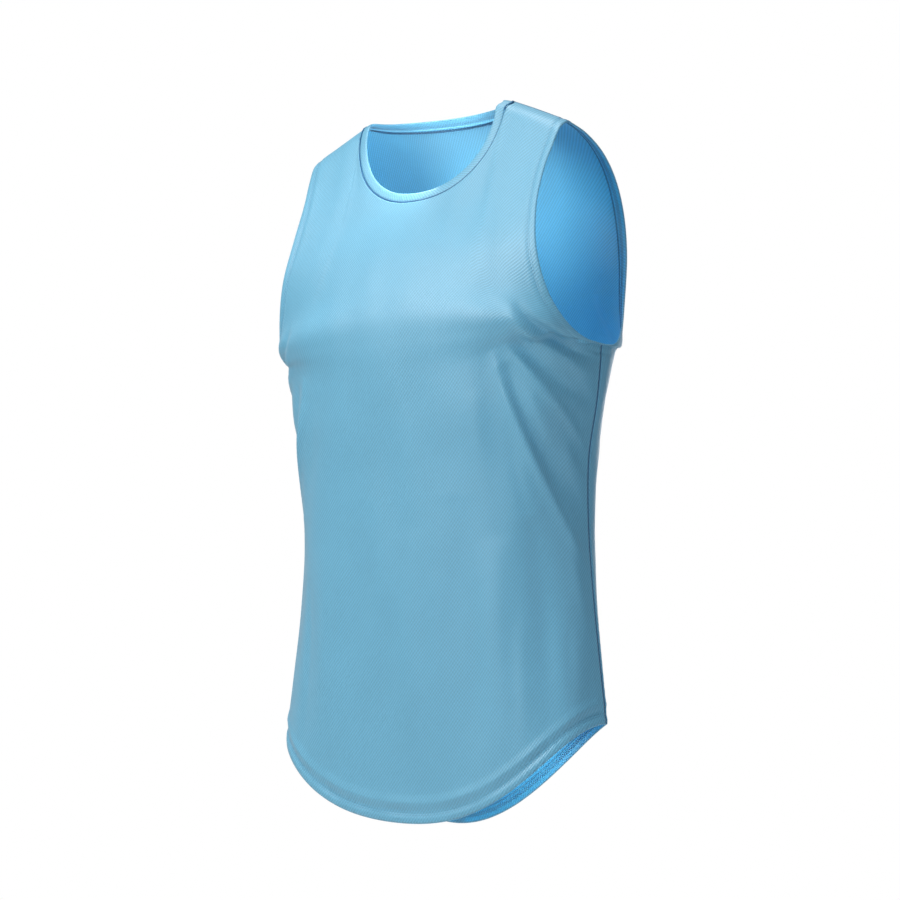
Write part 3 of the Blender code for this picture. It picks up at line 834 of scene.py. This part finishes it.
def shell(name, outer, normal, wall, uv, facts):
    """A wall between the outer grid and the same grid moved in along the normals."""
    rows, columns = outer.shape[:2]
    size = rows * columns
    points = np.concatenate([outer.reshape(-1, 3), (outer - normal * wall).reshape(-1, 3)])
    faces = grid_quads(rows, columns, 0) + grid_quads(rows, columns, size)
    rim = list(range(columns))
    rim += [r * columns + columns - 1 for r in range(1, rows)]
    rim += [(rows - 1) * columns + c for c in range(columns - 2, -1, -1)]
    rim += [r * columns for r in range(rows - 2, 0, -1)]
    faces += [(a, b, b + size, a + size) for a, b in zip(rim, rim[1:] + rim[:1])]
    doubled = {fact: np.concatenate([v.ravel(), v.ravel()]) for fact, v in facts.items()}
    # Painted light: inside faces near the neck keep the face colour where the neck's light falls. Elsewhere
    # they take the inside colour, with its painted bounce light.
    painted_neck_light = np.exp(-((outer[..., 0] / NECK_LIGHT_WIDTH) ** 4))
    painted_neck_light *= np.clip(outer[..., 2] / NECK_LIGHT_DEPTH + 1, 0, 1)
    doubled["inside"] = np.concatenate([np.zeros(size), 1 - painted_neck_light.ravel()])
    return new_mesh_object(name, points, faces, np.concatenate([uv.reshape(-1, 2)] * 2), doubled)


def hoop(name, rings, uv, facts):
    """A closed ring of cloth: rings is [place round the loop, point of its section]."""
    around, section = rings.shape[:2]
    faces = []
    for i in range(around):
        here, following = i * section, (i + 1) % around * section
        for j in range(section):
            k = (j + 1) % section
            faces.append((here + j, here + k, following + k, following + j))
    return new_mesh_object(name, rings.reshape(-1, 3), faces, uv.reshape(-1, 2), facts)


def scattered(name, pattern, faces, places, frames):
    """One mesh of copies of a small pattern, each at its own place and turned by its own frame."""
    count, size = len(places), len(pattern)
    points = np.einsum("pk,nkd->npd", pattern, frames) + places[:, None]
    starts = np.arange(count) * size
    all_faces = [tuple(start + corner for corner in face) for start in starts for face in faces]
    return new_mesh_object(name, points.reshape(-1, 3), all_faces)


def finish_piece(piece, material, nodes=()):
    """Gives a piece its material, rides it on the body and hides the frame's nodes that it stands for."""
    piece.data.materials.clear()
    piece.data.materials.append(material)
    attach(piece, "root")
    if nodes:
        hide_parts(*nodes)


# ------------------------------------------------------------------ shader maths


class Value:
    """A shader socket that Python's operators work on."""

    def __init__(self, tree, socket):
        self.tree = tree
        self.socket = socket

    def make(self, kind, settings=None, inputs=None, output=0):
        """Any other node, from its type, its settings and the values or links of its sockets."""
        node = self.tree.nodes.new(kind)
        for name, setting in (settings or {}).items():
            setattr(node, name, setting)
        for name, given in (inputs or {}).items():
            if isinstance(given, Value):
                self.tree.links.new(given.socket, node.inputs[name])
            else:
                node.inputs[name].default_value = given
        return Value(self.tree, node.outputs[output])

    def maths(self, operation, first, second=0.0):
        return self.make("ShaderNodeMath", {"operation": operation}, {0: first, 1: second})

    def __add__(self, other):
        return self.maths("ADD", self, other)

    def __radd__(self, other):
        return self.maths("ADD", other, self)

    def __sub__(self, other):
        return self.maths("SUBTRACT", self, other)

    def __rsub__(self, other):
        return self.maths("SUBTRACT", other, self)

    def __mul__(self, other):
        return self.maths("MULTIPLY", self, other)

    def __rmul__(self, other):
        return self.maths("MULTIPLY", other, self)

    def __truediv__(self, other):
        return self.maths("DIVIDE", self, other)

    def __rtruediv__(self, other):
        return self.maths("DIVIDE", other, self)

    def cosine(self):
        return self.maths("COSINE", self)

    def noise(self, place, scale, detail, roughness=0.5):
        """Cloudy unevenness, read at a place."""
        inputs = {"Vector": place, "Scale": scale, "Detail": detail, "Roughness": roughness}
        return self.make("ShaderNodeTexNoise", None, inputs)

    def axis(self, index):
        """Another output of the same node, such as Y or Z beside X."""
        return Value(self.tree, self.socket.node.outputs[index])

    def mixed(self, first, second):
        """The first colour where this value is 0 and the second where it is 1."""
        mix = {"data_type": "RGBA", "clamp_factor": True}
        return self.make("ShaderNodeMix", mix, {0: self, 6: first, 7: second}, 2)

    def tinted(self, colour):
        """A colour multiplied by this value."""
        scale = {"operation": "SCALE"}
        return self.make("ShaderNodeVectorMath", scale, {"Vector": colour, "Scale": self})


def new_material(name, roughness, sheen, specular=0.25):
    """A cloth or thread material, with its shader and a Value to start sums from."""
    material = bpy.data.materials.new(name)
    material.use_nodes = True
    tree = material.node_tree
    shader = tree.nodes["Principled BSDF"]
    shader.inputs["Roughness"].default_value = roughness
    shader.inputs["Specular IOR Level"].default_value = specular
    shader.inputs["Sheen Weight"].default_value = sheen
    shader.inputs["Sheen Roughness"].default_value = 0.45
    return material, shader, Value(tree, shader.outputs[0])


def knit_material(name, face, inside, seam, course):
    """Fine knit with slanting rows of small dimples, deeper in colour on its inside, where the inside colour
    carries painted bounce light, and with painted shade along its seams.
    """
    material, shader, start = new_material(name, 0.5, 0.25, 0.9)
    knit = start.make("ShaderNodeUVMap", {"uv_map": KNIT_UV})
    along = start.make("ShaderNodeSeparateXYZ", None, {0: knit})
    wale = along * (2 * np.pi / (course * KNIT_SLIMNESS))
    row = along.axis(1) * (2 * np.pi / course)
    dimple = (wale - row).cosine() * KNIT_SLANT + (wale + row).cosine() * (1.0 - KNIT_SLANT)
    rib = (along * (2 * np.pi / (course * KNIT_SLIMNESS / 4))).cosine()
    place = start.make("ShaderNodeTexCoord", output=3)
    cloud = start.noise(place, 22.0, 3.0, 0.6)
    fuzz = start.noise(place, 900.0, 2.0, 0.7)
    inside_and_painted_light = start.make("ShaderNodeAttribute", {"attribute_name": "inside"}, output=2)
    groove = start.make("ShaderNodeAttribute", {"attribute_name": "groove"}, output=2)
    tone = 1 + dimple * 0.15 + (cloud - 0.5) * 0.10 + (fuzz - 0.5) * 0.24
    # Inside faces take the inside colour, lightened as painted bounce light.
    colour = inside_and_painted_light.mixed((*face, 1.0), (*inside, 1.0))
    # Painted shade: the cloth darkens towards the seam colour along its seam lines.
    colour = groove.mixed(colour, (*seam, 1.0))
    links = start.tree.links
    links.new(tone.tinted(colour).socket, shader.inputs["Base Color"])
    height = dimple * 0.5 + rib * 0.06 + fuzz * 0.25
    bump = start.make("ShaderNodeBump", None, {"Strength": 0.5, "Distance": 0.0004, "Height": height})
    links.new(bump.socket, shader.inputs["Normal"])
    links.new((0.46 - dimple * 0.06).socket, shader.inputs["Roughness"])
    return material


def thread_material(name, colour):
    """Sewing thread, twisted from plies."""
    material, shader, start = new_material(name, 0.55, 0.2)
    place = start.make("ShaderNodeTexCoord", output=3)
    across = start.make("ShaderNodeSeparateXYZ", None, {0: place})
    twist = ((across + across.axis(1) + across.axis(2)) * (2 * np.pi / PLY_LENGTH)).cosine()
    tone = start.noise(place, 160.0, 2.0)
    shade = 0.93 + twist * 0.07 + (tone - 0.5) * 0.22
    start.tree.links.new(shade.tinted(colour).socket, shader.inputs["Base Color"])
    bump = start.make("ShaderNodeBump", None, {"Strength": 0.3, "Distance": 0.0001, "Height": twist})
    start.tree.links.new(bump.socket, shader.inputs["Normal"])
    return material


def floor_material(colour):
    """Plain pale floor."""
    material, shader, start = new_material("floor", 0.9, 0.0)
    place = start.make("ShaderNodeTexCoord", output=3)
    cloud = start.noise(place, 3.0, 2.0)
    shade = 0.99 + cloud * 0.02
    start.tree.links.new(shade.tinted(colour).socket, shader.inputs["Base Color"])
    return material


# ------------------------------------------------------------------ what a user may change


def length(label, note, default):
    return FloatProperty(name=label, description=note, default=default, unit="LENGTH", precision=5)


def angle(label, note, degrees):
    return FloatProperty(name=label, description=note, default=np.radians(degrees), subtype="ANGLE")


def power(label, note, default):
    return FloatProperty(name=label, description=note, default=default, min=0.0)


def colour(label, note, default):
    return FloatVectorProperty(name=label, description=note, default=default, subtype="COLOR")


class SingletSizes(bpy.types.PropertyGroup):
    """Sizes of the cloth and its sewing."""

    wall: length("Cloth thickness", "Wall of the knit", 0.0007)
    armhole_turn: length("Armhole turn", "Width of the cloth turned in along the armholes", 0.0095)
    hem_turn: length("Hem turn", "Width of the cloth turned up along the bottom edge", 0.0112)
    stitch: length("Stitch length", "Length of one stitch", 0.0026)
    thread: length("Thread", "Diameter of the thread", 0.00042)
    course: length("Knit repeat", "Height of the knit's repeat", 0.0042)


class SingletColours(bpy.types.PropertyGroup):
    """Colours of the cloth and thread."""

    face: colour("Outside", "Knit seen from outside", (0.145, 0.440, 0.630))
    # The inside colour is the knit's reverse, painted lighter and more saturated to stand in for light
    # bounced inside the garment.
    inside: colour("Inside", "Knit seen from inside", (0.105, 0.600, 0.930))
    thread: colour("Thread", "Needle thread", (0.130, 0.360, 0.540))
    looper: colour("Looper", "Looper thread inside", (0.150, 0.330, 0.500))
    overlock: colour("Overlock", "Seam thread inside", (0.012, 0.075, 0.210))
    # The seam colour is painted shade for the seams' grooves, and it also colours the neck seam's thread.
    seam: colour("Seams", "Depth of the seams", (0.008, 0.120, 0.280))


class SingletStage(bpy.types.PropertyGroup):
    """Camera, floor and light."""

    azimuth: angle("Camera azimuth", "Turn of the camera from the front", 36.0)
    elevation: angle("Camera elevation", "Rise of the camera", -6.0)
    distance: length("Camera distance", "Distance of the camera", 2.4)
    floor_gap: length("Floor gap", "Height of the hem above the floor", 0.30)
    key: power("Key light", "Power of the soft key light", 18.0)
    side: power("Side light", "Power of the light on the left side", 14.0)
    armhole: power("Armhole light", "Power of the light inside the armhole", 0.015)
    neck: power("Neck light", "Power of the light inside the neck", 0.15)
    hem: power("Hem light", "Power of the light inside the hem", 0.030)
    behind: power("Back light", "Power of the light behind", 24.0)
    top: power("Top light", "Strength of the light from above", 2.1)
    sky: power("Soft light", "Strength of the light all round", 0.11)


def sizes():
    return bpy.context.scene.singlet_sizes


def colours():
    return bpy.context.scene.singlet_colours


@lru_cache(maxsize=None)
def cloth_material():
    cloth = colours()
    tones = (tuple(tone) for tone in (cloth.face, cloth.inside, cloth.seam))
    return knit_material("knit", *tones, sizes().course)


@lru_cache(maxsize=None)
def shared_thread(kind):
    return thread_material(f"{kind}_thread", tuple(getattr(colours(), kind)))


# ------------------------------------------------------------------ pieces


def make_panel(side):
    """The front's or back's cloth as a thin shell."""
    outer, normal, _ = cloth_face(side)
    run = run_of(outer)
    uv = np.stack([level_run(outer), run - run[underarm_row()]], axis=-1)
    # Painted shade along the side, shoulder and neck seams, fullest within a millimetre of them.
    groove = np.zeros(run.shape)
    across = row_run(outer)
    from_side = np.minimum(across, across[:, -1:] - across)
    from_side[underarm_row() + 1 :] = 1.0
    for distance in (from_side, run[-1:] - run):
        groove = np.maximum(groove, np.interp(distance, SEAM_SHADE_REACH, (1, 0)))
    piece = shell(f"{side}_cloth", outer, normal, sizes().wall, uv, {"groove": groove})
    finish_piece(piece, cloth_material(), [PANELS[side].node])
    return piece


def make_turn(name, points, normals, into, width, plain_height=0.0005):
    """Cloth turned in along an edge: it rounds the edge and lies on the inside."""
    wall = sizes().wall
    section = [(point.out + point.share * width, point.walls * wall) for point in TURN_SECTION]
    rings = []
    for way, depth in section:
        place, outward = (points, normals) if way < EDGE_REACH else on_cloth(points + into * way)
        rings.append(place + into * min(way, 0.0) - outward * depth)
    rings = np.stack(rings, axis=1)
    uv = loop_uv(points, [way for way, _ in section])
    # The turn's inside takes the inside colour with its painted bounce light, and fades to the face colour
    # near the loop's lowest point.
    lift = np.clip((points[:, 2] - points[:, 2].min()) / plain_height, 0, 1)
    inside = lift[:, None] * np.array([point.inside for point in TURN_SECTION])
    piece = hoop(name, rings, uv, {"inside": inside.ravel()})
    finish_piece(piece, cloth_material())


def stitch_pattern(length, thickness):
    """One stitch along +X, as points and faces: a bead drawn out and flattened underneath."""
    bpy.ops.object.select_all(action="DESELECT")
    bpy.ops.mesh.primitive_uv_sphere_add(segments=6, ring_count=4, radius=0.5)
    bead = bpy.context.object
    bpy.ops.object.mode_set(mode="EDIT")
    bpy.ops.transform.rotate(value=np.pi / 2, orient_axis="Y", center_override=(0, 0, 0))
    bpy.ops.transform.resize(value=(length, thickness, thickness * 0.8), center_override=(0, 0, 0))
    bpy.ops.object.mode_set(mode="OBJECT")
    points = np.array([vertex.co for vertex in bead.data.vertices])
    faces = [tuple(face.vertices) for face in bead.data.polygons]
    bpy.data.objects.remove(bead, do_unlink=True)
    return points, faces


def threads_between(name, starts, ends, normals, kind, thickness=1.0):
    """A thread from each start to its end, lying on a surface whose normals are given."""
    pattern, faces = stitch_pattern(1.0, sizes().thread * thickness)
    span = ends - starts
    along = unit(span)
    aside = unit(np.cross(normals, along))
    frames = np.stack([span, aside, unit(np.cross(along, aside))], axis=1)
    piece = scattered(name, pattern, faces, (starts + ends) / 2, frames)
    finish_piece(piece, shared_thread(kind))


def needle_rows(name, points, into, distances):
    """Rows of straight stitches on the outside, beside an edge."""
    starts, ends, outwards = [], [], []
    for distance in distances:
        place, outward = on_cloth(points + into * distance)
        place = place + outward * sizes().thread * NEEDLE_LIFT
        following = np.roll(place, -1, axis=0)
        starts.append(place + (following - place) * NEEDLE_SPAN[0])
        ends.append(place + (following - place) * NEEDLE_SPAN[1])
        outwards.append(outward)
    starts, ends, outwards = (np.concatenate(rows) for rows in (starts, ends, outwards))
    threads_between(name, starts, ends, outwards, "thread")


def crossing(name, near, far, outward, kind, thickness=1.0):
    """Threads that run to and fro between two rows of points, and along the first row."""
    following = np.roll(near, -1, axis=0)
    starts = np.concatenate([near, far, near])
    ends = np.concatenate([far, following, following])
    threads_between(name, starts, ends, np.concatenate([outward] * 3), kind, thickness)


def looper_rows(name, points, into, distances, depth):
    """The inside of twin-needle sewing: threads that cross between two rows."""
    near, outward = on_cloth(points + into * distances[0])
    far, _ = on_cloth(points + into * distances[1])
    crossing(name, near - outward * depth, midway(far) - outward * depth, -outward, "looper")


def neck(step):
    """The neck seam at even steps, with normals and the directions into the opening."""
    points, normals = spaced(*neck_loop(), step)
    normals, into = directions(points, normals, points.mean(axis=0), NECK_EVENING)
    return points, normals, into


def banded(points, normals, into, section):
    """Rings of a section set round a loop; each row of section is its way in and how proud it is."""
    return np.stack([points + into * way + normals * proud for way, proud in section], axis=1)


def loop_uv(points, across):
    """Distances round a loop and across its section."""
    run = run_of(np.concatenate([points, points[:1]]))[:-1]
    return np.stack(np.broadcast_arrays(run[:, None], np.asarray(across)[None, :]), axis=-1)


def make_neckband():
    """The folded band that stands round the neck."""
    points, normals, into = neck(BAND_STEP)
    rings = banded(points, normals, into, [(p.into_neck, p.proud) for p in BAND_SECTION])
    uv = loop_uv(points, [p.into_neck for p in BAND_SECTION])
    # The band's back takes a small share of the inside colour, with its painted bounce light.
    inside = [BAND_SHADE if p.proud < BAND_BACK else 0.0 for p in BAND_SECTION]
    piece = hoop("neckband_cloth", rings, uv, {"inside": np.tile(inside, len(points))})
    finish_piece(piece, cloth_material(), ["neckband"])
    return piece


def make_neck_sewing():
    """The seam line under the neckband, the overlocked allowance inside and its rows of thread."""
    points, normals, into = neck(BAND_STEP)
    turn = np.linspace(0, 2 * np.pi, 7)[:-1]
    half = BAND_SEAM_WIDTH / 2
    flat = half * BAND_SEAM_FLATNESS
    line = [(half * np.cos(t) - half / 3, flat * np.sin(t) + BAND_SEAM_LIFT) for t in turn]
    # The seam line is a thread tube in the dark seam colour. It is partly thread and partly painted shade of
    # the seam's groove.
    piece = hoop("neck_seam", banded(points, normals, into, line), loop_uv(points, [0] * 6), {})
    finish_piece(piece, shared_thread("seam"))
    wall = sizes().wall
    top, bottom = -wall * ALLOWANCE_WALLS, -wall * NECK_WALLS
    section = [(NECK_LAP, top), (NECK_LAP, bottom), (-ALLOWANCE, bottom + NECK_TAPER), (-ALLOWANCE, top)]
    rings = banded(points, normals, into, section)
    # The allowance takes a share of the inside colour, with its painted bounce light.
    inside = np.full(len(points) * len(section), NECK_SHADE)
    piece = hoop("neck_allowance", rings, loop_uv(points, [p[0] for p in section]), {"inside": inside})
    finish_piece(piece, cloth_material())
    points, normals, into = neck(sizes().stitch * OVERLOCK_SHARE)
    depth = -wall * NECK_WALLS - sizes().thread * OVERLOCK_LIFT
    low = points - into * (ALLOWANCE + NECK_OVERLOCK[0]) + normals * depth
    high = points - into * (ALLOWANCE * NECK_OVERLOCK[1]) + normals * depth
    crossing("neck_overlock", low, midway(high), -normals, "overlock", 1.1)
    points, normals, into = neck(sizes().stitch)
    depth = BAND_SECTION[-2].proud - sizes().thread * LOOPER_LIFT
    near, far = (points + into * row + normals * depth for row in BAND_ROWS)
    crossing("neckband_looper", near, midway(far), -normals, "looper")


def make_edge_sewing(name, edge, rows, turn):
    """Stitches outside and loopers and overlock inside, along a turned edge."""
    points, _, into = edge(sizes().stitch)
    needle_rows(f"{name}_stitches", points, into, rows)
    depth = sizes().wall * LOOPER_WALLS + sizes().thread * LOOPER_LIFT
    looper_rows(f"{name}_looper", points, into, [row - back for row, back in zip(rows, LOOPER_BACK)], depth)
    points, _, into = edge(sizes().stitch * OVERLOCK_SHARE)
    near, outward = on_cloth(points + into * (turn + OVERLOCK_ROWS[0]))
    far, _ = on_cloth(points + into * (turn + OVERLOCK_ROWS[1]))
    depth = sizes().wall * OVERLOCK_WALLS
    kind = "thread" if name == "hem" else "overlock"
    crossing(f"{name}_overlock", near - outward * depth, midway(far) - outward * depth, -outward, kind)


def allowance_grid(side, rows, columns):
    """A part of a panel's inner face, a little inside it, and its outward normals."""
    outer, normal, _ = cloth_face(side)
    outer, normal = outer[rows, columns], normal[rows, columns]
    return outer - normal * sizes().wall * ALLOWANCE_GAP_WALLS, normal


def make_allowance(name, grid, normal, edge, edge_normal, beyond):
    """A seam allowance that lies flat inside, overlocked along its free edge."""
    uv = np.stack([row_run(grid), run_of(grid)], axis=-1)
    plain = {"groove": np.zeros(grid.shape[:2])}
    piece = shell(name, grid, normal, sizes().wall * ALLOWANCE_WALLS, uv, plain)
    finish_piece(piece, cloth_material())
    run = run_of(edge)
    stops = np.arange(0, run[-1], sizes().stitch * OVERLOCK_SHARE)
    low, high, out = (read_along(line, run, stops) for line in (edge, beyond, edge_normal))
    depth = out * (sizes().wall * ALLOWANCE_WALLS + sizes().thread * OVERLOCK_LIFT)
    low, high = low - depth, high - depth
    half = (high[:-1] + high[1:]) / 2
    starts = np.concatenate([low[:-1], half, low[:-1]])
    ends = np.concatenate([half, low[1:], low[1:]])
    threads_between(f"{name}_overlock", starts, ends, -np.concatenate([out[:-1]] * 3), "overlock")


def armhole(is_left, step):
    """An armhole's edge at even steps, with normals and the directions into the cloth."""
    points, normals = spaced(*armhole_loop(is_left), step)
    normals, out = directions(points, normals, points.mean(axis=0))
    return points, normals, -out


def hem(step):
    """The bottom edge at even steps, with normals and the directions into the cloth."""
    points, normals = spaced(*hem_loop(), step)
    above = points + np.array([0.0, 0.0, 1.0])
    normals, into = directions(points, normals, above)
    return points, normals, into


# ------------------------------------------------------------------ operators


class SINGLET_OT_front(bpy.types.Operator):
    """Makes the front's cloth"""

    bl_idname = "singlet.front"
    bl_label = "Front"

    def execute(self, context):
        piece = make_panel("front")
        return {"FINISHED"}


class SINGLET_OT_back(bpy.types.Operator):
    """Makes the back's cloth"""

    bl_idname = "singlet.back"
    bl_label = "Back"

    def execute(self, context):
        piece = make_panel("back")
        return {"FINISHED"}


class SINGLET_OT_neckband(bpy.types.Operator):
    """Makes the band round the neck"""

    bl_idname = "singlet.neckband"
    bl_label = "Neckband"

    def execute(self, context):
        piece = make_neckband()
        return {"FINISHED"}


class SINGLET_OT_turned_edges(bpy.types.Operator):
    """Turns the cloth in along the armholes and the bottom edge"""

    bl_idname = "singlet.turned_edges"
    bl_label = "Turned edges"

    def execute(self, context):
        for side in ("left", "right"):
            points, normals, into = armhole(side == "left", EDGE_STEP)
            make_turn(f"{side}_armhole_turn", points, normals, into, sizes().armhole_turn, UNDERARM_PLAIN)
        points, normals, into = hem(EDGE_STEP)
        make_turn("hem_turn", points, normals, into, sizes().hem_turn)
        return {"FINISHED"}


class SINGLET_OT_neck_sewing(bpy.types.Operator):
    """Sews the neckband on"""

    bl_idname = "singlet.neck_sewing"
    bl_label = "Neck sewing"

    def execute(self, context):
        make_neck_sewing()
        return {"FINISHED"}


class SINGLET_OT_edge_sewing(bpy.types.Operator):
    """Sews the turned edges down"""

    bl_idname = "singlet.edge_sewing"
    bl_label = "Edge sewing"

    def execute(self, context):
        turn = sizes().armhole_turn
        make_edge_sewing("left_armhole", lambda step: armhole(True, step), ARMHOLE_ROWS, turn)
        make_edge_sewing("right_armhole", lambda step: armhole(False, step), ARMHOLE_ROWS, turn)
        make_edge_sewing("hem", hem, HEM_ROWS, sizes().hem_turn)
        return {"FINISHED"}


class SINGLET_OT_seam_allowances(bpy.types.Operator):
    """Lays the side and shoulder seams' allowances down inside the back"""

    bl_idname = "singlet.seam_allowances"
    bl_label = "Seam allowances"

    def execute(self, context):
        last = underarm_row() - 1
        sides = {
            "left": (slice(0, ALLOWANCE_POINTS), -1, -3),
            "right": (slice(-ALLOWANCE_POINTS, None), 0, 2),
        }
        for name, (columns, free, beyond) in sides.items():
            grid, normal = allowance_grid("back", slice(12, last), columns)
            edges = grid[:, free], normal[:, free], grid[:, beyond]
            make_allowance(f"{name}_side_allowance", grid, normal, *edges)
        width = STRAP_COLUMNS
        straps = {"left": slice(1, width), "right": slice(-width, -1)}
        for name, columns in straps.items():
            grid, normal = allowance_grid("back", slice(-ALLOWANCE_POINTS, None), columns)
            edges = grid[0], normal[0], grid[2]
            make_allowance(f"{name}_shoulder_allowance", grid, normal, *edges)
        return {"FINISHED"}


class SINGLET_OT_stage(bpy.types.Operator):
    """Sets the camera, the floor and the light"""

    bl_idname = "singlet.stage"
    bl_label = "Stage"

    def execute(self, context):
        scene = context.scene
        stage = scene.singlet_stage
        bpy.ops.mesh.primitive_circle_add(vertices=96, radius=FLOOR_RADIUS, fill_type="NGON")
        floor = context.object
        floor.data.transform(Matrix.Translation((0.0, 0.0, CAD_BOX[0][2] - stage.floor_gap)))
        floor.name = "floor"
        floor.data.materials.append(floor_material(FLOOR_TONE))
        bpy.ops.object.camera_add()
        camera = context.object
        camera.name = "camera"
        away = direction(stage.azimuth, stage.elevation)
        camera.location = Vector(CAMERA_TARGET) + away * stage.distance
        camera.rotation_euler = away.to_track_quat("Z", "Y").to_euler()
        camera.data.lens = stage.distance * LENS_PER_METRE
        camera.data.sensor_width = 36.0
        camera.data.clip_end = 100.0
        scene.camera = camera
        for lamp in LAMPS:
            bpy.ops.object.light_add(type=lamp.kind)
            light = context.object
            light.name = lamp.name
            light.data.energy = getattr(stage, lamp.name)
            light.data.color = lamp.tint
            away = direction(np.radians(lamp.azimuth), np.radians(lamp.elevation))
            light.location = Vector(lamp.aim) + away * lamp.distance
            light.rotation_euler = away.to_track_quat("Z", "Y").to_euler()
            light.visible_camera = False
            if lamp.kind == "AREA":
                light.data.size = lamp.size
            else:
                light.data.angle = np.radians(TOP_SPREAD)
        set_world(scene, stage.sky)
        scene.view_settings.view_transform = "Standard"
        return {"FINISHED"}


def direction(azimuth, elevation):
    """A unit vector from the middle, turned round from the front and raised."""
    level = np.cos(elevation)
    return Vector((np.sin(azimuth) * level, -np.cos(azimuth) * level, np.sin(elevation)))


def set_world(scene, strength):
    """Even light all round, and plain white behind everything."""
    world = bpy.data.worlds.new("studio")
    world.use_nodes = True
    tree = world.node_tree
    background = tree.nodes["Background"]
    background.inputs["Color"].default_value = (1.0, 1.0, 1.0, 1.0)
    start = Value(tree, background.outputs[0])
    seen = start.make("ShaderNodeLightPath")
    tree.links.new((seen * (1.0 - strength) + strength).socket, background.inputs["Strength"])
    scene.world = world


class SINGLET_PT_pieces(bpy.types.Panel):
    """Lists the steps, sizes and colours"""

    bl_idname = "SINGLET_PT_pieces"
    bl_label = "Running singlet"
    bl_space_type = "VIEW_3D"
    bl_region_type = "UI"
    bl_category = "Singlet"

    def draw(self, context):
        layout = self.layout
        for operator in STEPS:
            layout.operator(operator.bl_idname)
        for group in (sizes(), colours(), context.scene.singlet_stage):
            box = layout.box()
            for name in group.bl_rna.properties.keys():
                if name not in ("rna_type", "name"):
                    box.prop(group, name)


STEPS = (
    SINGLET_OT_front,
    SINGLET_OT_back,
    SINGLET_OT_neckband,
    SINGLET_OT_turned_edges,
    SINGLET_OT_neck_sewing,
    SINGLET_OT_edge_sewing,
    SINGLET_OT_seam_allowances,
    SINGLET_OT_stage,
)
CLASSES = (SingletSizes, SingletColours, SingletStage, SINGLET_PT_pieces) + STEPS


def register():
    for item in CLASSES:
        bpy.utils.register_class(item)
    bpy.types.Scene.singlet_sizes = PointerProperty(type=SingletSizes)
    bpy.types.Scene.singlet_colours = PointerProperty(type=SingletColours)
    bpy.types.Scene.singlet_stage = PointerProperty(type=SingletStage)


def unregister():
    del bpy.types.Scene.singlet_stage
    del bpy.types.Scene.singlet_colours
    del bpy.types.Scene.singlet_sizes
    for item in reversed(CLASSES):
        bpy.utils.unregister_class(item)


def main():
    """Makes every piece and the stage."""
    register()
    bpy.ops.object.select_all(action="DESELECT")
    for operator in STEPS:
        group, name = operator.bl_idname.split(".")
        getattr(getattr(bpy.ops, group), name)()


if __name__ == "__main__":
    main()
